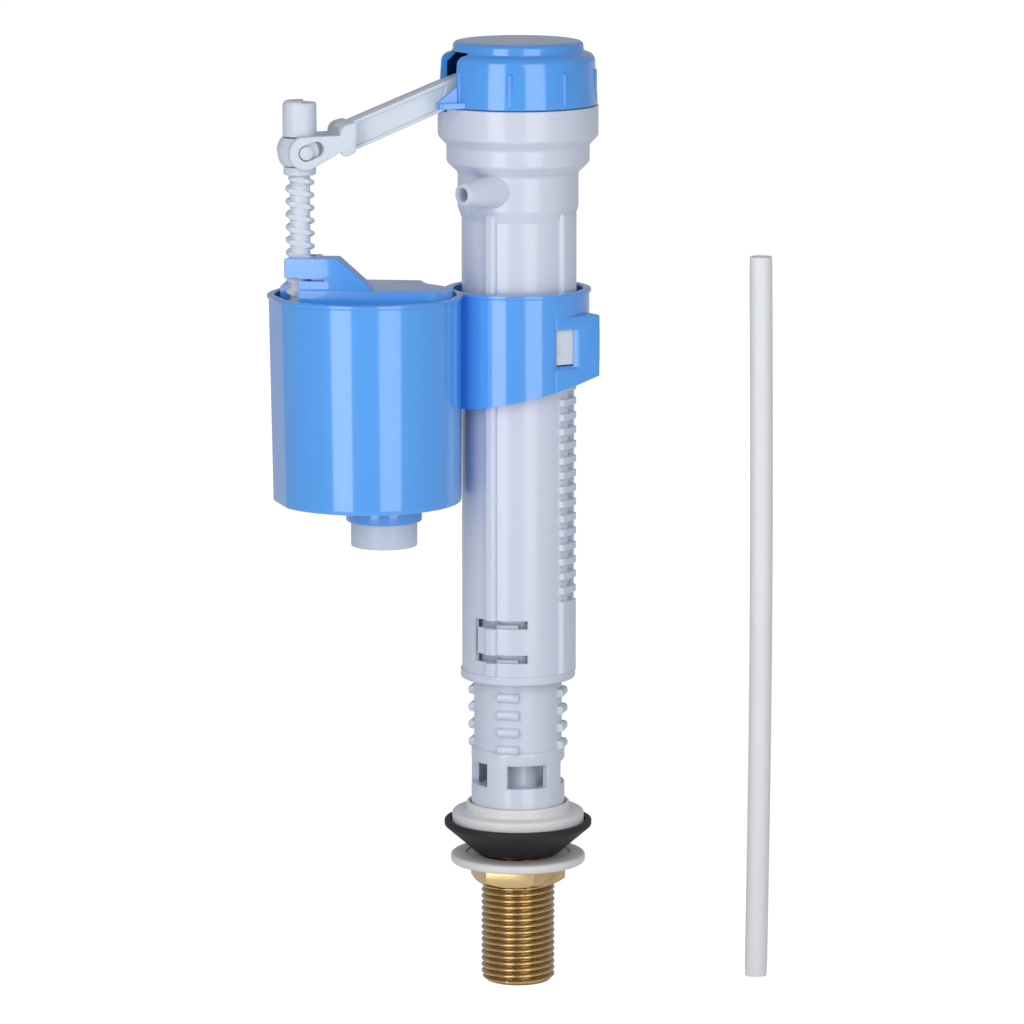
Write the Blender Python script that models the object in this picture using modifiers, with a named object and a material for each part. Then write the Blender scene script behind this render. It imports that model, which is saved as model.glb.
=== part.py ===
# Bottom-entry toilet fill valve: a threaded inlet tail, a telescopic riser, a lever head
# and a float cup whose float hangs from the lever on an adjusting rod.
# The valve's axis is Z and the float cup is towards -X. Z is 0 at the cistern floor, which
# is clamped between the cone seal above and the washer below. Sizes are in millimetres.

import math

import bmesh
import bpy
from mathutils import Matrix, Vector

MM = 0.001
OBJECT_NAME = "toilet_fill_valve"

# Clearances
SEAT_GAP = 0.3
RUN_GAP = 0.4

# Facets of round pieces
LARGE_STEPS = 32
MEDIUM_STEPS = 24
SMALL_STEPS = 16

# Inlet tail, parallel pipe thread G1/2
TAIL_RADIUS = 10.48
TAIL_BORE_RADIUS = 6.3
TAIL_BELOW_FLOOR = 36.9
TAIL_CHAMFER = 1.0
TAIL_HUB_RADIUS = 8.6
TAIL_HUB_LENGTH = 8.0
FILTER_LENGTH = 13.0
FILTER_WALL = 0.9
FILTER_RIM = 2.4
FILTER_SLOT = 1.2

# Back nut, washer and cone seal
NUT_FLATS = 23.8
NUT_THICKNESS = 5.2
NUT_CHAMFER_SLOPE = 0.6
NUT_CORNER_ANGLE = 30.0
WASHER_RADIUS = 19.1
WASHER_THICKNESS = 2.5
WASHER_ROUND = 0.8
WASHER_LAND = 3.5
WASHER_RELIEF = 0.3
SEAL_SMALL_RADIUS = 12.2
SEAL_WIDE_RADIUS = 20.9
SEAL_CONE_HEIGHT = 8.2
SEAL_LIP_HEIGHT = 1.6
SEAL_RECESS = 1.0
SEAL_STAND = 0.6
SEAL_LIP_ROUND = 0.6

# Base flange
FLANGE_RADIUS = 18.7
FLANGE_THICKNESS = 3.3
FLANGE_ROUND = 0.8
FLANGE_HUB_RADIUS = 14.6
FLANGE_HUB_HEIGHT = 2.7
FLANGE_HUB_RECESS = 2.6
FLANGE_HUB_CHAMFER = 0.3

# Shank: outer tube with outlet windows and height teeth, inner supply pipe
SHANK_FOOT_RADIUS = 13.2
SHANK_FOOT_HEIGHT = 16.1
SHANK_FOOT_CHAMFER = 0.6
SHANK_RADIUS = 12.45
SHANK_WALL = 1.35
SHANK_SPIGOT_RADIUS = 12.2
SHANK_TOP = 125.0
SUPPLY_RADIUS = 6.8
SUPPLY_BORE_RADIUS = 4.6
SUPPLY_STANDOUT = 6.0
WINDOW_SILL = 5.7
WINDOW_HEIGHT = 6.6
WINDOW_ANGLE = 53.0
WINDOW_STEP = 81.0
WINDOW_COUNT = 4
WINDOW_FIRST = 183.5
TOOTH_PITCH = 5.0
TOOTH_HEIGHT = 2.6
TOOTH_STAND = 1.2
TOOTH_WIDTH = 6.4
TOOTH_COUNT = 18
TOOTH_COLUMNS = 4
TOOTH_COLUMN_ANGLE = 239.0
TOOTH_FIRST = 0.8
TOOTH_ROOT_SINK = 0.4
TOOTH_TIP_SHARE = 0.45
RING_GROOVE_DEPTH = 1.1
RING_GROOVE_WIDTH = 2.4
RING_GROOVE_DROP = 3.0
RING_THICKNESS = 1.7

# Riser, set at the height the valve is shown at
RISER_LIFT = 51.1
RISER_LENGTH = 129.8
RISER_RADIUS = 16.25
RISER_WALL = 1.75
RISER_RIM_STAND = 0.4
RISER_RIM_HEIGHT = 2.4
PAD_STAND = 1.5
PAD_WIDTH = 3.2
PAD_ANGLES = (44.0, 134.0, 224.0)
RAIL_ANGLE = 308.0
RAIL_WIDTH = 5.2
RAIL_START = 24.2
RAIL_PITCH = 4.1
RAIL_SLOT = 2.2
RAIL_END = 9.0
RAIL_SLOT_SLOPE = 0.3
RAIL_VALLEY_STAND = 0.2
TONGUE_SILL = 5.3
TONGUE_HEIGHT = 7.4
TONGUE_GAP = 2.4
TONGUE_END_GAP = 1.7
TONGUE_START_ANGLE = 207.0
TONGUE_END_ANGLE = 262.0
FEED_RADIUS = 9.2
FEED_BORE_RADIUS = 8.0
FEED_LENGTH = 146.0

# Valve head: heights above the riser, and the diaphragm stack inside
HEAD_NECK_RADIUS = 17.2
HEAD_NECK_FOOT = 2.3
HEAD_NECK_HEIGHT = 13.3
HEAD_LOWER_RADIUS = 20.3
HEAD_LOWER_FOOT = 15.7
HEAD_LOWER_TOP = 20.7
HEAD_UPPER_RADIUS = 22.6
HEAD_UPPER_FOOT = 22.8
HEAD_HEIGHT = 32.0
HEAD_WALL = 2.2
HEAD_SPIGOT_WALL = 1.6
HEAD_SPIGOT_LENGTH = 9.0
HEAD_WEB_THICKNESS = 2.0
HEAD_WEB_HOLES = 8
HEAD_WEB_HOLE_RADIUS = 1.2
COLLAR_RADIUS = 19.5
COLLAR_BORE_RADIUS = 18.0
COLLAR_HEIGHT = 3.8
LEDGE_DEPTH = 7.5
LEDGE_WIDTH = 1.8
LEDGE_THICKNESS = 2.5
NOZZLE_ANGLE = 206.0
NOZZLE_HEIGHT = 9.2
NOZZLE_TIP_X = -21.5
NOZZLE_TIP_Y = -16.7
NOZZLE_LENGTH = 13.5
NOZZLE_TIP_RADIUS = 3.2
NOZZLE_ROOT_RADIUS = 4.2
NOZZLE_BORE_RADIUS = 1.95
DIAPHRAGM_THICKNESS = 1.4
DIAPHRAGM_DIP = 0.5
DIAPHRAGM_BEAD = 2.5
CORE_STEM_RADIUS = 3.0
CORE_FLANGE_RADIUS = 7.0
CORE_FLANGE_THICKNESS = 1.0
CORE_GUIDE_RADIUS = 6.6
CORE_GUIDE_LENGTH = 5.0
CORE_LIFT = 1.6
CORE_BLEED_RADIUS = 0.6
CORE_SLOT_HALF_WIDTH = 1.3
CORE_SLOT_STAND = 0.6
PLATE_THICKNESS = 5.3
PLATE_ROOF = 1.8
PLATE_RIM_WIDTH = 4.2
PILOT_RADIUS = 1.7
PILOT_HEIGHT = 2.9
PILOT_BORE_RADIUS = 0.6

# Cap
CAP_RADIUS = 22.0
CAP_RIM_STAND = 0.3
CAP_RIM_HEIGHT = 1.7
CAP_SIDE_HEIGHT = 12.6
CAP_SHOULDER = 2.9
CAP_DISC_RADIUS = 18.3
CAP_HEIGHT = 17.4
CAP_ROOF = 2.0
CAP_EDGE_WIDTH = 0.8
CAP_EDGE_DROP = 0.5
CAP_ROOF_STEP = 3.0
CAP_RIB_COUNT = 8
CAP_RIB_STEP = 42.0
CAP_RIB_FIRST = 204.0
CAP_RIB_WIDTH = 1.3
CAP_RIB_BOTTOM = 2.6
CAP_RIB_TOP = 10.6
CAP_SLOT_FAR = 4.0
CAP_SLOT_NEAR = 6.8
CAP_SLOT_END_X = -10.0
CAP_SLOT_DROP = 0.4
CAP_FOOT_REACH = 26.2
CAP_FOOT_WIDTH = 3.0
CAP_GUSSET_HEIGHT = 5.6
CAP_GUSSET_THICKNESS = 1.2
CAP_GUSSET_ROOT = 2.6
CAP_GUSSET_EDGE = 0.5

# Lever, at rest with its outer end down
PIVOT_X = -14.0
PIVOT_ABOVE_HEAD = 6.8
PIVOT_PIN_RADIUS = 1.2
LEVER_SLOPE = 19.85
LEVER_TRAVEL = 17.0
LEVER_HALF_DEPTH = 4.0
LEVER_THIN_HALF_DEPTH = 3.4
LEVER_WIDTH = 6.4
LEVER_WEB = 2.4
LEVER_FLANGE = 1.2
LEVER_INNER_REACH = 8.6
LEVER_INNER_HALF_DEPTH = 1.9
LEVER_HEEL_X = 3.0
LEVER_HEEL_HALF_DEPTH = 3.2
LEVER_DEEP_X = -8.0
LUG_WIDTH = 5.2
LUG_THICKNESS = 1.8
PLUG_X = 6.2
PLUG_RADIUS = 1.8
PLUG_LENGTH = 1.7
FORK_END_RADIUS = 4.9
FORK_LENGTH = 14.5
FORK_ROOT = 2.5
FORK_TAPER = 7.0
FORK_CORNER = 1.0
FORK_TOP_DROP = 0.4
PRONG_THICKNESS = 1.7
FORK_SLOT_RADIUS = 2.25
FORK_SLOT_RUN = 3.05

# Trunnion and adjusting rod, which stands just inside the cup's facet
ROD_INSET = 6.75
TRUNNION_RADIUS = 6.2
TRUNNION_HALF_HEIGHT = 3.8
TRUNNION_HALF_WIDTH = 4.7
TRUNNION_PIN_RADIUS = 1.9
ROD_NECK_RADIUS = 2.6
ROD_RADIUS = 4.05
KNOB_RADIUS = 4.7
KNOB_HEIGHT = 9.9
KNOB_ROUND = 1.0
KNOB_SLOT_WIDTH = 1.4
KNOB_SLOT_DEPTH = 1.5
ROD_COLLAR_RADIUS = 4.5
ROD_COLLAR_HEIGHT = 2.3
ROD_BELOW_COLLAR = 64.0

# Float cup and the band that carries it on the riser
CUP_BOTTOM_ABOVE_RISER = 53.5
CUP_HEIGHT = 57.3
CUP_RADIUS = 26.85
CUP_OVERLAP = 2.25
CUP_DRAFT = 1.5
CUP_FACET_DEPTH = 1.4
CUP_WALL = 1.5
CUP_LIP_STAND = 0.5
CUP_LIP_HEIGHT = 1.2
BAND_RADIUS = 20.0
BAND_HEIGHT = 32.9
BAND_MIDDLE_RISE = 7.0
BAND_END_RISE = 11.5
BAND_MIDDLE_X = 11.3
LATCH_ANGLE = 284.0
LATCH_STAND = 0.3
LATCH_LEFT = 2.0
LATCH_RIGHT = 14.6
LATCH_DEPTH = 6.6
LATCH_BELOW_RIM = 6.5
LATCH_SKIN = 1.0
RECESS_RIGHT = 9.2
CLIP_WINDOW_LEFT = 0.3
CLIP_WINDOW_RIGHT = 6.4
CLIP_BELOW_RIM = 15.0
CLIP_THICKNESS = 1.3
CLIP_HEIGHT = 10.0
CLIP_LEFT = 1.0
CLIP_STANDOUT = 1.6
CLIP_TRAVEL = 1.5
CLIP_TOOTH_WIDTH = 1.9
CLIP_TOOTH_REACH = 1.0
CLIP_TOOTH_HALF_HEIGHT = 1.0

# Drain under the cup
DRAIN_OFFSET = 5.2
DRAIN_HOLE_RADIUS = 3.2
DRAIN_COLLAR_RADIUS = 10.7
DRAIN_COLLAR_HEIGHT = 6.8
DRAIN_COLLAR_WALL = 1.0
POPPET_HEIGHT = 10.1
POPPET_LIFT = 3.4
POPPET_WALL = 1.2
POPPET_STEM_RADIUS = 1.8
POPPET_HEAD_RADIUS = 4.4
POPPET_HEAD_THICKNESS = 1.2

# Float
FLOAT_GAP = 1.3
FLOAT_DEPTH = 40.5
FLOAT_WALL = 1.5
FLOAT_DRAFT = 0.8
FLOAT_TOP_BELOW_RIM = 1.5
FLOAT_HOLLOW_FROM_ROD = 6.5
DECK_ABOVE_RIM = 3.1
DECK_TURN = -30.0
DECK_FRONT = 6.5
DECK_WIDTH = 25.3
DECK_INSET = 0.5
DECK_BACK_END = 6.3
DECK_FAR_END = 60.0
DECK_RISER_CLEARANCE = 30.0
TOWER_HEIGHT = 8.1
TOWER_HALF_WIDTH = 6.0
TOWER_BRIDGE = 5.5
TOWER_LEFT = 3.2
TOWER_RIGHT_TOP = 11.1
TOWER_RIGHT_FOOT = 20.4
RECESS_LENGTH = 8.7
RECESS_DEPTH = 0.6
RECESS_MARGIN = 0.2
SLIT_HEIGHT = 0.7
SLIT_DEPTH = 2.5
SLIT_MARGIN = 1.5

# Refill tube, which stands beside the valve
REFILL_X = 64.6
REFILL_Y = -21.0
REFILL_LENGTH = 206.5
REFILL_RADIUS = 3.2
REFILL_WALL = 0.9
REFILL_ABOVE_TAIL = 0.9
REFILL_BOW = 0.8

# Heights and places that follow from the sizes above
NUT_TOP = -WASHER_THICKNESS - SEAT_GAP
SEAL_TOP = SEAL_CONE_HEIGHT + SEAL_LIP_HEIGHT
FLANGE_BOTTOM = SEAL_TOP - SEAL_RECESS + SEAT_GAP
FLANGE_TOP = FLANGE_BOTTOM + FLANGE_THICKNESS
HUB_TOP = FLANGE_TOP + FLANGE_HUB_HEIGHT
FOOT_BOTTOM = HUB_TOP - FLANGE_HUB_RECESS + SEAT_GAP
FOOT_TOP = HUB_TOP + SHANK_FOOT_HEIGHT
SHANK_BOTTOM = FLANGE_BOTTOM + SEAT_GAP
SOCKET_TOP = FLANGE_BOTTOM + TAIL_HUB_LENGTH + SEAT_GAP
WINDOW_BOTTOM = HUB_TOP + WINDOW_SILL
ANNULUS_FLOOR = WINDOW_BOTTOM - 0.8
SUPPLY_TOP = SHANK_TOP + SUPPLY_STANDOUT
SHANK_INNER_RADIUS = SHANK_RADIUS - SHANK_WALL
RISER_TOP = RISER_LIFT + RISER_LENGTH
RISER_INNER_RADIUS = RISER_RADIUS - RISER_WALL
PAD_RADIUS = RISER_RADIUS + PAD_STAND
RAIL_SLOTS = int((RISER_LENGTH - RAIL_START - RAIL_END) / RAIL_PITCH) + 1
HEAD_BOTTOM = RISER_TOP + SEAT_GAP
HEAD_TOP = HEAD_BOTTOM + HEAD_HEIGHT
LEDGE_Z = HEAD_TOP - LEDGE_DEPTH
DIAPHRAGM_BOTTOM = LEDGE_Z + SEAT_GAP
DIAPHRAGM_TOP = DIAPHRAGM_BOTTOM + DIAPHRAGM_THICKNESS
FEED_TOP = LEDGE_Z - 0.1
PLATE_BOTTOM = DIAPHRAGM_TOP + SEAT_GAP
PLATE_TOP = PLATE_BOTTOM + PLATE_THICKNESS
PLATE_RADIUS = COLLAR_BORE_RADIUS - SEAT_GAP
CAP_BOTTOM = HEAD_TOP + SEAT_GAP
CAP_TOP = CAP_BOTTOM + CAP_HEIGHT
PIVOT_Z = HEAD_TOP + PIVOT_ABOVE_HEAD
CUP_X = -(CUP_RADIUS + BAND_RADIUS - CUP_OVERLAP)
CUP_FACET = CUP_RADIUS - CUP_FACET_DEPTH
DRAIN_X = CUP_X + DRAIN_OFFSET
ROD_X = CUP_X - CUP_FACET + ROD_INSET
LEVER_LENGTH = (PIVOT_X - ROD_X) / math.cos(math.radians(LEVER_SLOPE))
PIN_Z = PIVOT_Z - (PIVOT_X - ROD_X) * math.tan(math.radians(LEVER_SLOPE))
PRONG_INNER = KNOB_RADIUS + RUN_GAP
PRONG_OUTER = PRONG_INNER + PRONG_THICKNESS
KNOB_BOTTOM = PIN_Z + TRUNNION_HALF_HEIGHT + RUN_GAP
COLLAR_TOP = PIN_Z - TRUNNION_HALF_HEIGHT - RUN_GAP
ROD_BOTTOM = COLLAR_TOP - ROD_COLLAR_HEIGHT - ROD_BELOW_COLLAR
CHANNEL_RADIUS = ROD_RADIUS + RUN_GAP
CUP_BOTTOM = RISER_LIFT + CUP_BOTTOM_ABOVE_RISER
CUP_RIM = CUP_BOTTOM + CUP_HEIGHT
CUP_FLOOR = CUP_BOTTOM + CUP_WALL
BAND_BORE_RADIUS = PAD_RADIUS + RUN_GAP
BAND_BOTTOM = CUP_RIM - BAND_HEIGHT
LATCH_FACE = BAND_RADIUS + LATCH_STAND
LATCH_TOP = CUP_RIM - LATCH_BELOW_RIM
CLIP_MIDDLE = CUP_RIM - CLIP_BELOW_RIM
CLIP_FACE = LATCH_FACE - LATCH_SKIN - SEAT_GAP
RAIL_TURN = math.radians(RAIL_ANGLE - LATCH_ANGLE)
RAIL_SIDE = RISER_RADIUS * math.sin(RAIL_TURN) - RAIL_WIDTH / 2 * math.cos(RAIL_TURN)
DECK_TOP = CUP_RIM + DECK_ABOVE_RIM
FLOAT_TOP = CUP_RIM - FLOAT_TOP_BELOW_RIM
FLOAT_BOTTOM = FLOAT_TOP - FLOAT_DEPTH
TOWER_TOP = DECK_TOP + TOWER_HEIGHT


# Collections, materials and small helpers

for old in list(bpy.data.objects):
    bpy.data.objects.remove(old, do_unlink=True)

parts = bpy.data.collections.new(OBJECT_NAME)
cutters = bpy.data.collections.new("cutters")
bpy.context.scene.collection.children.link(parts)
bpy.context.scene.collection.children.link(cutters)


def material(name, colour, roughness, metallic=0.0):
    made = bpy.data.materials.new(name)
    made.use_nodes = True
    shader = made.node_tree.nodes["Principled BSDF"]
    shader.inputs["Base Color"].default_value = (*colour, 1.0)
    shader.inputs["Roughness"].default_value = roughness
    shader.inputs["Metallic"].default_value = metallic
    return made


BLUE = material("blue_plastic", (0.09, 0.35, 0.85), 0.22)
WHITE = material("gloss_white_plastic", (0.78, 0.79, 0.84), 0.25)
WARM_WHITE = material("warm_white_plastic", (0.80, 0.78, 0.73), 0.4)
NATURAL = material("natural_white_plastic", (0.76, 0.77, 0.78), 0.42)
MILKY = material("milky_plastic", (0.74, 0.74, 0.75), 0.45)
BRASS = material("brass", (0.78, 0.55, 0.24), 0.25, 1.0)
STEEL = material("steel", (0.62, 0.62, 0.62), 0.3, 1.0)
RUBBER = material("black_rubber", (0.03, 0.03, 0.035), 0.7)


def add_object(name, bm, finish, group=parts):
    mesh = bpy.data.meshes.new(name)
    bmesh.ops.recalc_face_normals(bm, faces=bm.faces)
    bm.to_mesh(mesh)
    bm.free()
    made = bpy.data.objects.new(name, mesh)
    group.objects.link(made)
    if finish:
        mesh.materials.append(finish)
    if group is cutters:
        made.hide_render = True
        made.display_type = "WIRE"
    return made


def arc(centre, radius, start, end, count):
    """Points on an arc, angles in degrees."""
    points = []
    for step in range(count + 1):
        angle = math.radians(start + (end - start) * step / count)
        points.append((centre[0] + radius * math.cos(angle), centre[1] + radius * math.sin(angle)))
    return points


def turned(name, profile, finish, steps=LARGE_STEPS, closed=True, at=(0.0, 0.0), group=parts):
    """Turn (radius, height) points about a vertical axis: down the outside, up the inside."""
    mesh = bpy.data.meshes.new(name)
    points = [(radius * MM, 0.0, height * MM) for radius, height in profile]
    edges = [(index, index + 1) for index in range(len(points) - 1)]
    if closed:
        edges.append((len(points) - 1, 0))
    mesh.from_pydata(points, edges, [])
    made = bpy.data.objects.new(name, mesh)
    made.location = (at[0] * MM, at[1] * MM, 0.0)
    group.objects.link(made)
    screw = made.modifiers.new("Turn", "SCREW")
    screw.steps = steps
    screw.render_steps = steps
    screw.use_merge_vertices = True
    screw.merge_threshold = 0.00001
    if finish:
        mesh.materials.append(finish)
    if group is cutters:
        made.hide_render = True
        made.display_type = "WIRE"
    return made


def prism(name, outline, low, high, finish=None, group=cutters):
    """Extrude a plan outline from one height to another."""
    bm = bmesh.new()
    face = bm.faces.new([bm.verts.new((x * MM, y * MM, low * MM)) for x, y in outline])
    grown = bmesh.ops.extrude_face_region(bm, geom=[face])
    top = [item for item in grown["geom"] if isinstance(item, bmesh.types.BMVert)]
    bmesh.ops.translate(bm, verts=top, vec=(0.0, 0.0, (high - low) * MM))
    return add_object(name, bm, finish, group)


def slab(name, outline, near, far, finish=None, group=cutters):
    """Extrude a side outline, given as (x, z) points, from one Y to another."""
    bm = bmesh.new()
    face = bm.faces.new([bm.verts.new((x * MM, near * MM, z * MM)) for x, z in outline])
    grown = bmesh.ops.extrude_face_region(bm, geom=[face])
    side = [item for item in grown["geom"] if isinstance(item, bmesh.types.BMVert)]
    bmesh.ops.translate(bm, verts=side, vec=(0.0, (far - near) * MM, 0.0))
    return add_object(name, bm, finish, group)


def box(name, low, high, group=cutters, finish=None):
    size = [(b - a) * MM for a, b in zip(low, high)]
    centre = [(a + b) * MM / 2 for a, b in zip(low, high)]
    bm = bmesh.new()
    scale = Matrix.Diagonal((*size, 1.0))
    bmesh.ops.create_cube(bm, size=1.0, matrix=Matrix.Translation(centre) @ scale)
    return add_object(name, bm, finish, group)


def rod(name, start, end, radius, steps=SMALL_STEPS, end_radius=None, group=cutters, finish=None):
    """A cylinder or cone between two points."""
    start = Vector(start) * MM
    end = Vector(end) * MM
    turn = (end - start).to_track_quat("Z", "Y").to_matrix().to_4x4()
    place = Matrix.Translation((start + end) / 2) @ turn
    last = radius if end_radius is None else end_radius
    bm = bmesh.new()
    bmesh.ops.create_cone(bm, cap_ends=True, segments=steps, radius1=radius * MM,
                          radius2=last * MM, depth=(end - start).length, matrix=place)
    return add_object(name, bm, finish, group)


def loft(name, rings, finish=None, group=cutters):
    """Join outlines of equal count, each given with its height, into one closed body."""
    bm = bmesh.new()
    levels = [[bm.verts.new((x * MM, y * MM, height * MM)) for x, y in outline]
              for outline, height in rings]
    count = len(levels[0])
    for lower, upper in zip(levels, levels[1:]):
        for index in range(count):
            following = (index + 1) % count
            bm.faces.new((lower[index], lower[following], upper[following], upper[index]))
    bm.faces.new(list(reversed(levels[0])))
    bm.faces.new(levels[-1])
    return add_object(name, bm, finish, group)


def combine(piece, tool, operation):
    if tool.name in parts.objects:
        parts.objects.unlink(tool)
        cutters.objects.link(tool)
        tool.hide_render = True
        tool.display_type = "WIRE"
    change = piece.modifiers.new(tool.name, "BOOLEAN")
    change.operation = operation
    change.object = tool


def cut(piece, *tools):
    for tool in tools:
        combine(piece, tool, "DIFFERENCE")


def join(piece, *tools):
    for tool in tools:
        combine(piece, tool, "UNION")


def keep(piece, *tools):
    for tool in tools:
        combine(piece, tool, "INTERSECT")


def turn_about_axis(piece, angle, centre=(0.0, 0.0)):
    """Turn a piece's mesh about a vertical line."""
    middle = Matrix.Translation((centre[0] * MM, centre[1] * MM, 0.0))
    turn = Matrix.Rotation(math.radians(angle), 4, "Z")
    piece.data.transform(middle @ turn @ middle.inverted())
    return piece


def sector(inner, outer, start, end, count=6):
    """Plan outline of a piece of a ring."""
    return arc((0, 0), outer, start, end, count) + arc((0, 0), inner, end, start, count)


# Inlet tail, filter, nut, washer and seal

def make_inlet_tail():
    shoulder = FLANGE_BOTTOM
    profile = [
        (TAIL_HUB_RADIUS, shoulder + TAIL_HUB_LENGTH),
        (TAIL_HUB_RADIUS, shoulder),
        (TAIL_RADIUS, shoulder),
        (TAIL_RADIUS, -TAIL_BELOW_FLOOR + TAIL_CHAMFER),
        (TAIL_RADIUS - TAIL_CHAMFER, -TAIL_BELOW_FLOOR),
        (TAIL_BORE_RADIUS, -TAIL_BELOW_FLOOR),
        (TAIL_BORE_RADIUS, shoulder + TAIL_HUB_LENGTH),
    ]
    return turned("inlet_tail", profile, BRASS)


def make_inlet_filter():
    bottom = -TAIL_BELOW_FLOOR + TAIL_CHAMFER
    rim = TAIL_BORE_RADIUS - SEAT_GAP
    foot = rim - FILTER_WALL
    tip = foot - FILTER_WALL
    top = bottom + FILTER_LENGTH
    profile = [
        (0.0, top),
        (tip, top),
        (foot, bottom + FILTER_RIM),
        (rim, bottom + FILTER_RIM),
        (rim, bottom),
        (foot - FILTER_WALL, bottom),
        (tip - FILTER_WALL, top - FILTER_WALL),
        (0.0, top - FILTER_WALL),
    ]
    strainer = turned("inlet_filter", profile, NATURAL, SMALL_STEPS, closed=False)
    for index in range(3):
        slot = box(f"filter_slot_{index}", (-rim, -FILTER_SLOT / 2, bottom + FILTER_RIM + 1),
                   (rim, FILTER_SLOT / 2, top - 2 * FILTER_WALL))
        cut(strainer, turn_about_axis(slot, 60 * index))
    return strainer


def make_back_nut():
    corner = NUT_FLATS / 2 / math.cos(math.radians(30))
    bottom = NUT_TOP - NUT_THICKNESS
    nut = prism("back_nut", arc((0, 0), corner, NUT_CORNER_ANGLE, NUT_CORNER_ANGLE + 300, 5),
                bottom, NUT_TOP, BRASS, parts)
    face = NUT_FLATS / 2
    profile = [
        (0.0, NUT_TOP + 1),
        (corner + 1, NUT_TOP + 1),
        (corner + 1, bottom + (corner + 1 - face) * NUT_CHAMFER_SLOPE),
        (face, bottom),
        (0.0, bottom),
    ]
    keep(nut, turned("nut_chamfer", profile, None, closed=False, group=cutters))
    cut(nut, rod("nut_bore", (0, 0, bottom - 1), (0, 0, NUT_TOP + 1), TAIL_RADIUS + SEAT_GAP, LARGE_STEPS))
    return nut


def make_clamp_washer():
    bore = TAIL_RADIUS + RUN_GAP
    top = 0.0
    bottom = -WASHER_THICKNESS
    rim = WASHER_RADIUS - WASHER_ROUND
    profile = [
        (rim, top),
        (WASHER_RADIUS, top - WASHER_ROUND),
        (WASHER_RADIUS, bottom + WASHER_ROUND),
        (rim, bottom),
        (bore, bottom),
        (bore, top - WASHER_RELIEF),
        (rim - WASHER_LAND, top - WASHER_RELIEF),
        (rim - WASHER_LAND, top),
    ]
    return turned("clamp_washer", profile, NATURAL)


def make_cone_seal():
    bore = TAIL_RADIUS + SEAT_GAP
    floor = SEAL_TOP - SEAL_RECESS
    profile = [
        (SEAL_WIDE_RADIUS - SEAL_LIP_ROUND, SEAL_TOP),
        (SEAL_WIDE_RADIUS, SEAL_TOP - SEAL_LIP_ROUND),
        (SEAL_WIDE_RADIUS, SEAL_CONE_HEIGHT),
        (SEAL_SMALL_RADIUS, SEAL_STAND),
        (bore, SEAL_STAND),
        (bore, floor),
        (FLANGE_RADIUS + RUN_GAP, floor),
        (FLANGE_RADIUS + RUN_GAP, SEAL_TOP),
    ]
    return turned("cone_seal", profile, RUBBER)


# Flange and shank

def make_base_flange():
    recess = SHANK_FOOT_RADIUS + RUN_GAP
    bore = SHANK_SPIGOT_RADIUS + SEAT_GAP
    profile = [
        (FLANGE_HUB_RADIUS - FLANGE_HUB_CHAMFER, HUB_TOP),
        (FLANGE_HUB_RADIUS, HUB_TOP - FLANGE_HUB_CHAMFER),
        (FLANGE_HUB_RADIUS, FLANGE_TOP),
        (FLANGE_RADIUS - FLANGE_ROUND, FLANGE_TOP),
        (FLANGE_RADIUS, FLANGE_TOP - FLANGE_ROUND),
        (FLANGE_RADIUS, FLANGE_BOTTOM),
        (bore, FLANGE_BOTTOM),
        (bore, HUB_TOP - FLANGE_HUB_RECESS),
        (recess, HUB_TOP - FLANGE_HUB_RECESS),
        (recess, HUB_TOP),
    ]
    return turned("base_flange", profile, WARM_WHITE)


def make_tooth_column(index):
    """One column of height teeth, cut as a rack and turned to its side of the shank."""
    back = SHANK_RADIUS - SHANK_WALL / 2
    root = SHANK_RADIUS - TOOTH_ROOT_SINK
    tip = SHANK_RADIUS + TOOTH_STAND
    half = TOOTH_HEIGHT / 2
    outline = [(back, FOOT_TOP - half)]
    for number in range(TOOTH_COUNT):
        middle = FOOT_TOP + TOOTH_FIRST + number * TOOTH_PITCH
        outline.append((root, middle - half))
        outline.append((tip, middle - half * TOOTH_TIP_SHARE))
        outline.append((tip, middle + half * TOOTH_TIP_SHARE))
        outline.append((root, middle + half))
    outline.append((back, FOOT_TOP + TOOTH_COUNT * TOOTH_PITCH - half))
    column = slab(f"tooth_column_{index}", outline, -TOOTH_WIDTH / 2, TOOTH_WIDTH / 2)
    return turn_about_axis(column, TOOTH_COLUMN_ANGLE + index * 360 / TOOTH_COLUMNS)


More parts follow.
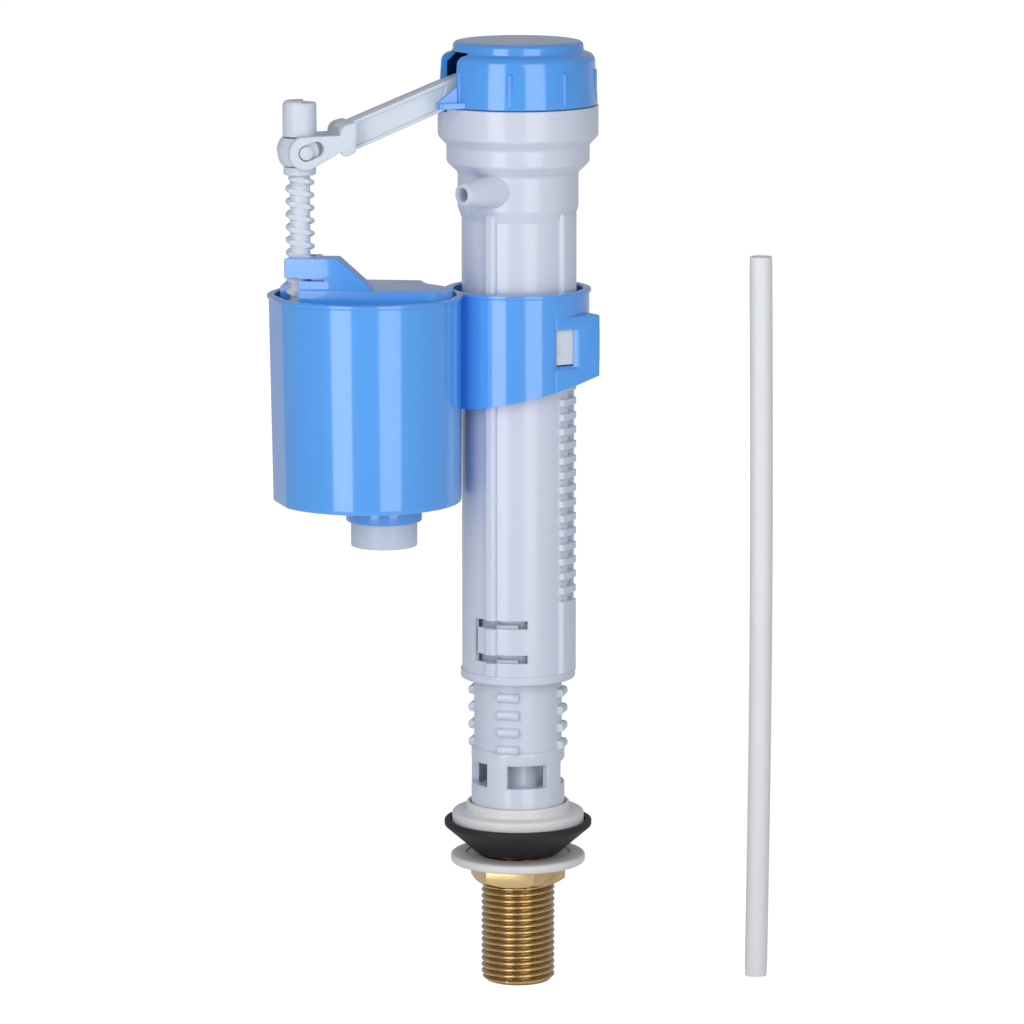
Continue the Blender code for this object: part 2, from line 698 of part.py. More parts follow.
def make_shank_tube():
    socket = TAIL_HUB_RADIUS + SEAT_GAP
    groove_top = SUPPLY_TOP - RING_GROOVE_DROP
    groove = SUPPLY_RADIUS - RING_GROOVE_DEPTH
    profile = [
        (SHANK_RADIUS, SHANK_TOP),
        (SHANK_RADIUS, FOOT_TOP),
        (SHANK_FOOT_RADIUS, FOOT_TOP - SHANK_FOOT_CHAMFER),
        (SHANK_FOOT_RADIUS, FOOT_BOTTOM),
        (SHANK_SPIGOT_RADIUS, FOOT_BOTTOM),
        (SHANK_SPIGOT_RADIUS, SHANK_BOTTOM),
        (socket, SHANK_BOTTOM),
        (socket, SOCKET_TOP),
        (SUPPLY_BORE_RADIUS, SOCKET_TOP),
        (SUPPLY_BORE_RADIUS, SUPPLY_TOP),
        (SUPPLY_RADIUS, SUPPLY_TOP),
        (SUPPLY_RADIUS, groove_top),
        (groove, groove_top),
        (groove, groove_top - RING_GROOVE_WIDTH),
        (SUPPLY_RADIUS, groove_top - RING_GROOVE_WIDTH),
        (SUPPLY_RADIUS, ANNULUS_FLOOR),
        (SHANK_INNER_RADIUS, ANNULUS_FLOOR),
        (SHANK_INNER_RADIUS, SHANK_TOP),
    ]
    shank = turned("shank_tube", profile, WHITE)
    for index in range(WINDOW_COUNT):
        start = WINDOW_FIRST - WINDOW_ANGLE / 2 + index * WINDOW_STEP
        outline = sector(SHANK_INNER_RADIUS - 1, SHANK_FOOT_RADIUS + 1, start, start + WINDOW_ANGLE, 4)
        cut(shank, prism(f"outlet_window_{index}", outline, WINDOW_BOTTOM, WINDOW_BOTTOM + WINDOW_HEIGHT))
    for index in range(TOOTH_COLUMNS):
        join(shank, make_tooth_column(index))
    return shank


def make_shank_o_ring():
    middle = SUPPLY_TOP - RING_GROOVE_DROP - RING_GROOVE_WIDTH / 2
    thick = RING_THICKNESS / 2
    centre = SUPPLY_RADIUS - RING_GROOVE_DEPTH + SEAT_GAP + thick
    profile = list(reversed(arc((centre, middle), thick, 0, 315, 7)))
    return turned("shank_o_ring", profile, RUBBER, MEDIUM_STEPS)


# Riser, with its pads, toothed rail and locking tongue

def make_riser_tube():
    rim = RISER_RADIUS + RISER_RIM_STAND
    profile = [
        (RISER_RADIUS, RISER_TOP),
        (RISER_RADIUS, RISER_LIFT + RISER_RIM_HEIGHT),
        (rim, RISER_LIFT + RISER_RIM_HEIGHT - RISER_RIM_STAND),
        (rim, RISER_LIFT + RISER_RIM_STAND),
        (RISER_RADIUS, RISER_LIFT),
        (RISER_INNER_RADIUS, RISER_LIFT),
        (RISER_INNER_RADIUS, RISER_TOP),
    ]
    riser = turned("riser_tube", profile, WHITE)
    foot = RISER_LIFT + RISER_RIM_HEIGHT
    root = RISER_RADIUS - RISER_WALL / 2
    for index, angle in enumerate(PAD_ANGLES):
        pad = box(f"guide_pad_{index}", (root, -PAD_WIDTH / 2, foot), (PAD_RADIUS, PAD_WIDTH / 2, RISER_TOP))
        join(riser, turn_about_axis(pad, angle))
    join(riser, make_toothed_rail(root, foot))
    cut(riser, *make_tongue_cutters())
    return riser


def make_toothed_rail(root, foot):
    """The rail that sets the cup's height: a pad with a row of slots across it."""
    valley = RISER_RADIUS + RAIL_VALLEY_STAND
    tip = PAD_RADIUS
    outline = [(root, foot), (tip, foot)]
    for number in range(RAIL_SLOTS):
        low = RISER_LIFT + RAIL_START - RAIL_SLOT / 2 + number * RAIL_PITCH
        outline.append((tip, low))
        outline.append((valley, low + RAIL_SLOT_SLOPE))
        outline.append((valley, low + RAIL_SLOT - RAIL_SLOT_SLOPE))
        outline.append((tip, low + RAIL_SLOT))
    outline += [(tip, RISER_TOP), (root, RISER_TOP)]
    rail = slab("toothed_rail", outline, -RAIL_WIDTH / 2, RAIL_WIDTH / 2)
    return turn_about_axis(rail, RAIL_ANGLE)


def make_tongue_cutters():
    """Three cuts that leave the locking tongue hinged at its right end."""
    low = RISER_LIFT + TONGUE_SILL
    high = low + TONGUE_HEIGHT + 2 * TONGUE_GAP
    inner = RISER_INNER_RADIUS - 1
    outer = PAD_RADIUS + 1
    end_turn = math.degrees(TONGUE_END_GAP / RISER_RADIUS)
    bar = sector(inner, outer, TONGUE_START_ANGLE, TONGUE_END_ANGLE, 5)
    end = sector(inner, outer, TONGUE_START_ANGLE, TONGUE_START_ANGLE + end_turn, 1)
    return (prism("tongue_lower_cut", bar, low, low + TONGUE_GAP),
            prism("tongue_upper_cut", bar, high - TONGUE_GAP, high),
            prism("tongue_end_cut", end, low, high))


def make_feed_tube():
    bottom = FEED_TOP - FEED_LENGTH
    profile = [
        (FEED_RADIUS, FEED_TOP),
        (FEED_RADIUS, bottom),
        (FEED_BORE_RADIUS, bottom),
        (FEED_BORE_RADIUS, FEED_TOP),
    ]
    return turned("feed_tube", profile, NATURAL, MEDIUM_STEPS)


# Valve head and the diaphragm stack

def make_valve_head():
    spigot = RISER_INNER_RADIUS - SEAT_GAP
    spigot_bore = spigot - HEAD_SPIGOT_WALL
    neck_bore = HEAD_NECK_RADIUS - HEAD_WALL
    web = FEED_RADIUS + SEAT_GAP
    web_low = HEAD_BOTTOM + HEAD_NECK_FOOT
    cavity = COLLAR_BORE_RADIUS
    ledge = COLLAR_BORE_RADIUS - LEDGE_WIDTH
    profile = [
        (COLLAR_RADIUS, HEAD_TOP + COLLAR_HEIGHT),
        (COLLAR_RADIUS, HEAD_TOP),
        (HEAD_UPPER_RADIUS, HEAD_TOP),
        (HEAD_UPPER_RADIUS, HEAD_BOTTOM + HEAD_UPPER_FOOT),
        (HEAD_LOWER_RADIUS, HEAD_BOTTOM + HEAD_LOWER_TOP),
        (HEAD_LOWER_RADIUS, HEAD_BOTTOM + HEAD_LOWER_FOOT),
        (HEAD_NECK_RADIUS, HEAD_BOTTOM + HEAD_NECK_HEIGHT),
        (HEAD_NECK_RADIUS, HEAD_BOTTOM + HEAD_NECK_FOOT),
        (RISER_RADIUS, HEAD_BOTTOM),
        (spigot, HEAD_BOTTOM),
        (spigot, HEAD_BOTTOM - HEAD_SPIGOT_LENGTH),
        (spigot_bore, HEAD_BOTTOM - HEAD_SPIGOT_LENGTH),
        (spigot_bore, web_low),
        (web, web_low),
        (web, web_low + HEAD_WEB_THICKNESS),
        (neck_bore, web_low + HEAD_WEB_THICKNESS),
        (neck_bore, HEAD_BOTTOM + HEAD_NECK_HEIGHT),
        (cavity, HEAD_BOTTOM + HEAD_LOWER_FOOT + 1),
        (cavity, LEDGE_Z - LEDGE_THICKNESS),
        (ledge, LEDGE_Z - LEDGE_THICKNESS),
        (ledge, LEDGE_Z),
        (COLLAR_BORE_RADIUS, LEDGE_Z),
        (COLLAR_BORE_RADIUS, HEAD_TOP + COLLAR_HEIGHT),
    ]
    head = turned("valve_head", profile, WHITE)
    step = 360 / HEAD_WEB_HOLES
    hole_circle = arc((0, 0), (web + spigot_bore) / 2, step / 3, step / 3 + 360 - step, HEAD_WEB_HOLES - 1)
    for index, place in enumerate(hole_circle):
        cut(head, rod(f"web_hole_{index}", (*place, web_low - 1), (*place, web_low + HEAD_WEB_THICKNESS + 1),
                      HEAD_WEB_HOLE_RADIUS, 8))
    add_refill_nozzle(head)
    notch = LEVER_WIDTH / 2 + 2 * RUN_GAP
    cut(head, box("lever_notch", (-HEAD_UPPER_RADIUS - 1, -notch, HEAD_TOP - 1.2),
                  (-COLLAR_BORE_RADIUS + 2, notch, HEAD_TOP + COLLAR_HEIGHT + 1)))
    return head


def add_refill_nozzle(head):
    """The refill nozzle, which stands aslant on the neck's near side and opens into it."""
    angle = math.radians(NOZZLE_ANGLE)
    out = Vector((math.cos(angle), math.sin(angle), 0.0))
    tip = Vector((NOZZLE_TIP_X, NOZZLE_TIP_Y, HEAD_BOTTOM + NOZZLE_HEIGHT))
    root = tip - out * NOZZLE_LENGTH
    join(head, rod("nozzle_body", root, tip, NOZZLE_ROOT_RADIUS, SMALL_STEPS, NOZZLE_TIP_RADIUS))
    cut(head, rod("nozzle_bore", root - out * 3, tip + out * 2, NOZZLE_BORE_RADIUS, 12))


def make_diaphragm():
    rim = COLLAR_BORE_RADIUS - RUN_GAP
    hole = CORE_STEM_RADIUS + SEAT_GAP
    bead = rim - LEDGE_WIDTH - DIAPHRAGM_BEAD
    profile = [
        (rim, DIAPHRAGM_TOP),
        (rim, DIAPHRAGM_BOTTOM),
        (hole, DIAPHRAGM_BOTTOM),
        (hole, DIAPHRAGM_TOP - DIAPHRAGM_DIP),
        (bead - 2 * DIAPHRAGM_DIP, DIAPHRAGM_TOP - DIAPHRAGM_DIP),
        (bead, DIAPHRAGM_TOP),
    ]
    return turned("diaphragm", profile, RUBBER, MEDIUM_STEPS)


def make_diaphragm_core():
    flange_bottom = DIAPHRAGM_TOP + SEAT_GAP
    guide_top = DIAPHRAGM_BOTTOM - CORE_LIFT - SEAT_GAP
    guide_bottom = guide_top - CORE_GUIDE_LENGTH
    profile = [
        (CORE_FLANGE_RADIUS, flange_bottom + CORE_FLANGE_THICKNESS),
        (CORE_FLANGE_RADIUS, flange_bottom),
        (CORE_STEM_RADIUS, flange_bottom),
        (CORE_STEM_RADIUS, guide_top),
        (CORE_GUIDE_RADIUS, guide_top),
        (CORE_GUIDE_RADIUS, guide_bottom),
        (CORE_BLEED_RADIUS, guide_bottom),
        (CORE_BLEED_RADIUS, flange_bottom + CORE_FLANGE_THICKNESS),
    ]
    core = turned("diaphragm_core", profile, NATURAL, SMALL_STEPS)
    for index in range(3):
        for side in (-1, 1):
            slot = box(f"guide_slot_{index}_{side}",
                       (CORE_STEM_RADIUS + CORE_SLOT_STAND, -CORE_SLOT_HALF_WIDTH, guide_bottom - 1),
                       (CORE_GUIDE_RADIUS + 1, CORE_SLOT_HALF_WIDTH, guide_top + SEAT_GAP / 2))
            cut(core, turn_about_axis(slot, 60 * index + 90 + 90 * side))
    return core


def make_pilot_plate():
    """The plate over the diaphragm, with the pilot seat and the lever's two lugs."""
    recess = PLATE_RADIUS - PLATE_RIM_WIDTH
    roof = PLATE_TOP - PLATE_ROOF
    profile = [
        (0.0, PLATE_TOP),
        (PLATE_RADIUS, PLATE_TOP),
        (PLATE_RADIUS, PLATE_BOTTOM),
        (recess, PLATE_BOTTOM),
        (recess, roof),
        (0.0, roof),
    ]
    plate = turned("pilot_plate", profile, NATURAL, MEDIUM_STEPS, closed=False)
    seat_x = pilot_seat_x()
    seat_top = PLATE_TOP + PILOT_HEIGHT
    join(plate, rod("pilot_seat", (seat_x, 0, roof + 0.5), (seat_x, 0, seat_top), PILOT_RADIUS, 14))
    inner = LEVER_WIDTH / 2 + RUN_GAP
    half = LUG_WIDTH / 2
    outline = [(PIVOT_X - half, PLATE_TOP - 1)]
    outline += arc((PIVOT_X, PIVOT_Z), half, 180, 0, 8)
    outline += [(PIVOT_X + half, PLATE_TOP - 1)]
    for index, side in enumerate((-1, 1)):
        near = side * inner
        far = side * (inner + LUG_THICKNESS)
        join(plate, slab(f"lever_lug_{index}", outline, min(near, far), max(near, far)))
    wide = PLATE_RADIUS / 2
    cut(plate, rod("lug_bore", (PIVOT_X, -wide, PIVOT_Z), (PIVOT_X, wide, PIVOT_Z),
                   PIVOT_PIN_RADIUS + SEAT_GAP, 14))
    cut(plate, rod("pilot_bore", (seat_x, 0, roof - 1), (seat_x, 0, seat_top + 1), PILOT_BORE_RADIUS, 8))
    return plate


def pilot_seat_x():
    """Where the lever's rubber plug comes down when the float is up."""
    shut = math.radians(LEVER_SLOPE - LEVER_TRAVEL)
    reach = LEVER_INNER_HALF_DEPTH + SEAT_GAP + PLUG_LENGTH
    return PIVOT_X + PLUG_X * math.cos(shut) + reach * math.sin(shut)


# Cap

def make_top_cap():
    rim = CAP_RADIUS + CAP_RIM_STAND
    side_top = CAP_BOTTOM + CAP_SIDE_HEIGHT
    shoulder = arc((CAP_RADIUS - CAP_SHOULDER, side_top), CAP_SHOULDER, 90, 0, 4)
    disc_foot = side_top + CAP_SHOULDER
    bore = COLLAR_RADIUS + RUN_GAP
    roof = CAP_TOP - CAP_ROOF
    profile = [
        (0.0, CAP_TOP),
        (CAP_DISC_RADIUS - CAP_EDGE_WIDTH, CAP_TOP),
        (CAP_DISC_RADIUS, CAP_TOP - CAP_EDGE_DROP),
        (CAP_DISC_RADIUS, disc_foot),
    ]
    profile += shoulder
    profile += [
        (CAP_RADIUS, CAP_BOTTOM + CAP_RIM_HEIGHT + 0.3),
        (rim, CAP_BOTTOM + CAP_RIM_HEIGHT),
        (rim, CAP_BOTTOM),
        (bore, CAP_BOTTOM),
        (bore, side_top),
        (bore - CAP_ROOF_STEP, roof),
        (0.0, roof),
    ]
    cap = turned("top_cap", profile, BLUE, closed=False)
    for index in range(CAP_RIB_COUNT):
        rib = box(f"cap_rib_{index}", (CAP_RADIUS - 1, -CAP_RIB_WIDTH / 2, CAP_BOTTOM + CAP_RIB_BOTTOM),
                  (rim, CAP_RIB_WIDTH / 2, CAP_BOTTOM + CAP_RIB_TOP))
        join(cap, turn_about_axis(rib, CAP_RIB_FIRST + index * CAP_RIB_STEP))
    add_lever_opening(cap, side_top)
    return cap


def add_lever_opening(cap, side_top):
    """The slot the lever comes out of, with a foot and a gusset along its near side."""
    top = side_top + CAP_SHOULDER - CAP_SLOT_DROP
    near = -CAP_SLOT_NEAR
    outer = near - CAP_FOOT_WIDTH
    foot = box("cap_foot", (-CAP_FOOT_REACH, outer, CAP_BOTTOM),
               (-COLLAR_RADIUS, near + CAP_GUSSET_THICKNESS, CAP_BOTTOM + CAP_RIM_HEIGHT))
    start = -CAP_FOOT_REACH + CAP_GUSSET_EDGE
    root = -CAP_RADIUS + CAP_GUSSET_ROOT
    outline = [(start, CAP_BOTTOM + 1), (root, CAP_BOTTOM + 1), (root, CAP_BOTTOM + CAP_GUSSET_HEIGHT),
               (-CAP_RADIUS + CAP_GUSSET_EDGE, CAP_BOTTOM + CAP_GUSSET_HEIGHT),
               (start, CAP_BOTTOM + CAP_RIM_HEIGHT)]
    gusset = slab("cap_gusset", outline, near - CAP_GUSSET_THICKNESS, near + CAP_GUSSET_THICKNESS)
    join(cap, foot, gusset)
    cut(cap, box("lever_slot", (-CAP_FOOT_REACH - 2, near, CAP_BOTTOM - 1),
                 (CAP_SLOT_END_X, CAP_SLOT_FAR, top)))


# Lever

def lever_frame():
    """Place of the lever's own axes: the pivot, sloping down towards the float."""
    return Matrix.Translation((PIVOT_X * MM, 0.0, PIVOT_Z * MM)) @ Matrix.Rotation(
        math.radians(-LEVER_SLOPE), 4, "Y")


def make_lever_arm():
    pin = -LEVER_LENGTH
    root = pin + FORK_LENGTH
    thin = root + FORK_TAPER
    deep = LEVER_DEEP_X
    heel = LEVER_HEEL_HALF_DEPTH
    plug_start = PLUG_X - PLUG_RADIUS
    half = LEVER_HALF_DEPTH
    slim = LEVER_THIN_HALF_DEPTH
    outline = [(root - FORK_ROOT, -FORK_END_RADIUS), (root, -FORK_END_RADIUS), (thin, -slim), (deep, -half)]
    outline += [(plug_start - 2, -heel), (plug_start - SEAT_GAP, -LEVER_INNER_HALF_DEPTH)]
    outline += [(LEVER_INNER_REACH, -LEVER_INNER_HALF_DEPTH)]
    outline += [(LEVER_INNER_REACH, LEVER_INNER_HALF_DEPTH), (LEVER_HEEL_X, heel), (deep, half)]
    outline += [(thin, slim), (root, FORK_END_RADIUS - FORK_TOP_DROP), (root - FORK_ROOT, FORK_END_RADIUS)]
    arm = slab("lever_arm", outline, -LEVER_WIDTH / 2, LEVER_WIDTH / 2, NATURAL, parts)
    fork = arc((pin, 0), FORK_END_RADIUS, 90, 270, 10)
    fork += [(root - FORK_CORNER, -FORK_END_RADIUS), (root, -FORK_END_RADIUS + FORK_CORNER)]
    fork += [(root, FORK_END_RADIUS - FORK_CORNER - FORK_TOP_DROP / 2),
             (root - FORK_CORNER, FORK_END_RADIUS - FORK_TOP_DROP / 2)]
    join(arm, slab("fork_block", fork, -PRONG_OUTER, PRONG_OUTER))
    gap_end = root - FORK_ROOT
    cut(arm, box("fork_gap", (pin - 8, -PRONG_INNER, -8), (gap_end, PRONG_INNER, 8)))
    slot = arc((pin, 0), FORK_SLOT_RADIUS, 90, 270, 8)
    slot += arc((pin + FORK_SLOT_RUN, 0), FORK_SLOT_RADIUS, -90, 90, 8)
    cut(arm, slab("fork_slot", slot, -PRONG_OUTER - 2, PRONG_OUTER + 2))
    edge = LEVER_FLANGE
    start = root + edge
    pocket = [(start, -slim), (thin, -slim + edge), (deep + edge, -half + edge),
              (deep + edge, half - edge), (thin, slim - edge), (start, slim - edge / 2)]
    web = LEVER_WEB / 2
    cut(arm, slab("arm_pocket_near", pocket, -LEVER_WIDTH, -web))
    cut(arm, slab("arm_pocket_far", pocket, web, LEVER_WIDTH))
    cut(arm, rod("pivot_bore", (0, -9, 0), (0, 9, 0), PIVOT_PIN_RADIUS + SEAT_GAP, 14))
    place_on_lever(arm)
    return arm


def place_on_lever(piece):
    """Put a piece and its cutters, made on the lever's own axes, in their place."""
    frame = lever_frame()
    piece.matrix_world = frame
    for change in piece.modifiers:
        change.object.matrix_world = frame


def make_lever_pin():
    reach = LEVER_WIDTH / 2 + RUN_GAP + LUG_THICKNESS
    return rod("lever_pin", (PIVOT_X, -reach, PIVOT_Z), (PIVOT_X, reach, PIVOT_Z), PIVOT_PIN_RADIUS, 14,
               group=parts, finish=STEEL)


def make_pilot_seal():
    top = -LEVER_INNER_HALF_DEPTH - SEAT_GAP
    seal = rod("pilot_seal", (PLUG_X, 0, top - PLUG_LENGTH), (PLUG_X, 0, top), PLUG_RADIUS, 14,
               group=parts, finish=RUBBER)
    place_on_lever(seal)
    return seal


# Trunnion and adjusting rod

def make_trunnion():
    limit = math.degrees(math.asin(TRUNNION_HALF_HEIGHT / TRUNNION_RADIUS))
    ball = arc((0, PIN_Z), TRUNNION_RADIUS, limit, -limit, 6)
    profile = [(0.0, PIN_Z + TRUNNION_HALF_HEIGHT)] + ball + [(0.0, PIN_Z - TRUNNION_HALF_HEIGHT)]
    trunnion = turned("trunnion", profile, NATURAL, MEDIUM_STEPS, closed=False, at=(ROD_X, 0))
    wide = TRUNNION_RADIUS + 1
    tall = TRUNNION_HALF_HEIGHT + 1
    keep(trunnion, box("trunnion_sides", (ROD_X - wide, -TRUNNION_HALF_WIDTH, PIN_Z - tall),
                       (ROD_X + wide, TRUNNION_HALF_WIDTH, PIN_Z + tall)))
    join(trunnion, rod("trunnion_pins", (ROD_X, -PRONG_OUTER, PIN_Z), (ROD_X, PRONG_OUTER, PIN_Z),
                       TRUNNION_PIN_RADIUS, 16))
    cut(trunnion, rod("trunnion_bore", (ROD_X, 0, PIN_Z - tall), (ROD_X, 0, PIN_Z + tall),
                      ROD_NECK_RADIUS + SEAT_GAP, 20))
    return trunnion


def make_adjuster_rod():
    top = KNOB_BOTTOM + KNOB_HEIGHT
    collar_bottom = COLLAR_TOP - ROD_COLLAR_HEIGHT
    profile = [(0.0, top)]
    profile += arc((KNOB_RADIUS - KNOB_ROUND, top - KNOB_ROUND), KNOB_ROUND, 90, 0, 3)
    profile += [
        (KNOB_RADIUS, KNOB_BOTTOM),
        (ROD_NECK_RADIUS, KNOB_BOTTOM),
        (ROD_NECK_RADIUS, COLLAR_TOP),
        (ROD_COLLAR_RADIUS, COLLAR_TOP),
        (ROD_COLLAR_RADIUS, collar_bottom),
        (ROD_RADIUS, collar_bottom),
        (ROD_RADIUS, ROD_BOTTOM + 1),
        (ROD_RADIUS - 1, ROD_BOTTOM),
        (0.0, ROD_BOTTOM),
    ]
    spindle = turned("adjuster_rod", profile, NATURAL, 24, closed=False, at=(ROD_X, 0))
    wide = KNOB_RADIUS + 1
    half = KNOB_SLOT_WIDTH / 2
    cut(spindle, box("knob_slot", (ROD_X - wide, -half, top - KNOB_SLOT_DEPTH),
                     (ROD_X + wide, half, top + 1)))
    return spindle


# Float cup

def cup_outline(inset, draft=0.0, count=30):
    """The cup's own plan: a circle with one flat facet at its far end."""
    radius = CUP_RADIUS - inset - draft
    facet = CUP_FACET - inset - draft
    half = math.degrees(math.acos(facet / radius))
    return arc((CUP_X, 0), radius, 180 + half, 540 - half, count)


def body_outline(inset):
    """Plan of the cup and the band round the riser: two circles that run into each other."""
    radius = CUP_RADIUS - inset
    band = BAND_RADIUS - inset
    along = (CUP_X ** 2 + radius ** 2 - band ** 2) / (-2 * CUP_X)
    across = math.sqrt(radius ** 2 - along ** 2)
    cup_side = math.degrees(math.atan2(across, along))
    band_side = 180 - math.degrees(math.atan2(across, -CUP_X - along))
    half = math.degrees(math.acos((CUP_FACET - inset) / radius))
    lower = arc((CUP_X, 0), radius, 180 + half, 360 - cup_side, 14)
    nose = arc((0, 0), band, -band_side, band_side, 26)
    upper = arc((CUP_X, 0), radius, cup_side, 180 - half, 14)
    return lower + nose[1:-1] + upper


def make_float_cup():
    low = CUP_BOTTOM
    rise = CUP_DRAFT / CUP_HEIGHT
    cup_top = CUP_RIM - CUP_LIP_HEIGHT / 2
    cup = loft("float_cup", [(cup_outline(0, CUP_DRAFT), low),
                             (cup_outline(0, rise * (CUP_RIM - cup_top)), cup_top)], BLUE, parts)
    lip = prism("cup_lip", body_outline(-CUP_LIP_STAND), CUP_RIM - CUP_LIP_HEIGHT, CUP_RIM)
    join(cup, make_band(), lip)
    pocket = loft("cup_pocket", [(cup_outline(CUP_WALL, rise * (CUP_RIM - CUP_FLOOR)), CUP_FLOOR),
                                 (cup_outline(CUP_WALL, -rise), CUP_RIM + 1)])
    cut(cup, pocket, rod("band_bore", (0, 0, low), (0, 0, CUP_RIM + 1), BAND_BORE_RADIUS, LARGE_STEPS))
    cut(cup, rod("drain_hole", (DRAIN_X, 0, low - 1), (DRAIN_X, 0, CUP_FLOOR + 1), DRAIN_HOLE_RADIUS, 16))
    cut(cup, *make_latch_cutters())
    return cup


def make_band():
    """The band round the riser and the clip's housing, over one rising lower edge."""
    band = rod("cup_band", (0, 0, BAND_BOTTOM - 1), (0, 0, CUP_RIM - CUP_LIP_HEIGHT / 2 - 0.1), BAND_RADIUS,
               LARGE_STEPS)
    join(band, latch_box("latch_housing", (LATCH_FACE - LATCH_DEPTH, LATCH_FACE), (-LATCH_LEFT, LATCH_RIGHT),
                         (BAND_BOTTOM - 2, LATCH_TOP)))
    low = BAND_BOTTOM - 5
    end = BAND_RADIUS + 6
    outline = [(-end, low), (end, low), (end, BAND_BOTTOM + BAND_END_RISE),
               (BAND_MIDDLE_X, BAND_BOTTOM + BAND_MIDDLE_RISE), (-BAND_RADIUS, BAND_BOTTOM),
               (-end, BAND_BOTTOM)]
    cut(band, slab("band_edge", outline, -end, end))
    return band


def latch_box(name, out, along, heights, group=cutters, finish=None):
    """A box beside the riser: how far out from the axis, and how far along the clip's way."""
    block = box(name, (out[0], along[0], heights[0]), (out[1], along[1], heights[1]), group, finish)
    return turn_about_axis(block, LATCH_ANGLE)


def make_latch_cutters():
    """The clip's straight way through the housing, and the finger recess in front of it."""
    low = CLIP_MIDDLE - CLIP_HEIGHT / 2 - RUN_GAP
    high = CLIP_MIDDLE + CLIP_HEIGHT / 2 + RUN_GAP
    inner = CLIP_FACE - CLIP_THICKNESS - SEAT_GAP
    way = latch_box("clip_way", (inner, CLIP_FACE + SEAT_GAP),
                    (-CLIP_LEFT - CLIP_TRAVEL - RUN_GAP, LATCH_RIGHT + 2), (low, high))
    outline = [(LATCH_FACE + 0.2, -LATCH_LEFT + 0.3), (LATCH_FACE + 0.2, RECESS_RIGHT),
               (CLIP_FACE - 0.2, CLIP_WINDOW_RIGHT), (CLIP_FACE - 0.2, CLIP_WINDOW_LEFT)]
    recess = turn_about_axis(prism("clip_recess", outline, low - 0.3, high + 0.3), LATCH_ANGLE)
    return way, recess


def make_cup_lock_clip():
    """A flat clip that slides along its way, with a tooth that reaches in beside the riser's rail."""
    low = CLIP_MIDDLE - CLIP_HEIGHT / 2
    inner = CLIP_FACE - CLIP_THICKNESS
    clip = latch_box("cup_lock_clip", (inner, CLIP_FACE), (-CLIP_LEFT, LATCH_RIGHT + CLIP_STANDOUT),
                     (low, low + CLIP_HEIGHT), parts, NATURAL)
    tooth_end = RAIL_SIDE - RUN_GAP
    join(clip, latch_box("clip_tooth", (inner - CLIP_TOOTH_REACH, CLIP_FACE - CLIP_THICKNESS / 2),
                         (tooth_end - CLIP_TOOTH_WIDTH, tooth_end),
                         (CLIP_MIDDLE - CLIP_TOOTH_HALF_HEIGHT, CLIP_MIDDLE + CLIP_TOOTH_HALF_HEIGHT)))
    return clip


# Drain under the cup

def make_drain_collar():
    top = CUP_BOTTOM - SEAT_GAP
    bottom = top - DRAIN_COLLAR_HEIGHT + SEAT_GAP
    bore = DRAIN_COLLAR_RADIUS - DRAIN_COLLAR_WALL
    profile = [
        (DRAIN_COLLAR_RADIUS, top),
        (DRAIN_COLLAR_RADIUS, bottom + 0.4),
        (DRAIN_COLLAR_RADIUS - 0.4, bottom),
        (bore, bottom),
        (bore, top),
    ]
    return turned("drain_collar", profile, BLUE, MEDIUM_STEPS, at=(DRAIN_X, 0))


def make_drain_float():
    radius = DRAIN_COLLAR_RADIUS - DRAIN_COLLAR_WALL - RUN_GAP
    head_bottom = CUP_FLOOR + SEAT_GAP
    head_top = head_bottom + POPPET_HEAD_THICKNESS
    top = CUP_BOTTOM - POPPET_LIFT - RUN_GAP
    bottom = top - POPPET_HEIGHT
    profile = [
        (0.0, head_top),
        (POPPET_HEAD_RADIUS, head_top),
        (POPPET_HEAD_RADIUS, head_bottom),
        (POPPET_STEM_RADIUS, head_bottom),
        (POPPET_STEM_RADIUS, top),
        (radius, top),
        (radius, bottom + 0.5),
        (radius - 0.5, bottom),
        (radius - POPPET_WALL, bottom),
        (radius - POPPET_WALL, top - POPPET_WALL),
        (0.0, top - POPPET_WALL),
    ]
    return turned("drain_float", profile, MILKY, MEDIUM_STEPS, closed=False, at=(DRAIN_X, 0))


# Float

def deck_point(along, towards_front):
    """A plan point on the float's own axes, which start at the rod."""
    turn = math.radians(DECK_TURN)
    x = ROD_X + along * math.cos(turn) + towards_front * math.sin(turn)
    y = along * math.sin(turn) - towards_front * math.cos(turn)
    return x, y


def deck_box(name, along, front, heights):
    """A box whose plan is given on the float's own axes."""
    outline = [deck_point(along[0], front[0]), deck_point(along[1], front[0]),
               deck_point(along[1], front[1]), deck_point(along[0], front[1])]
    return prism(name, outline, heights[0], heights[1])


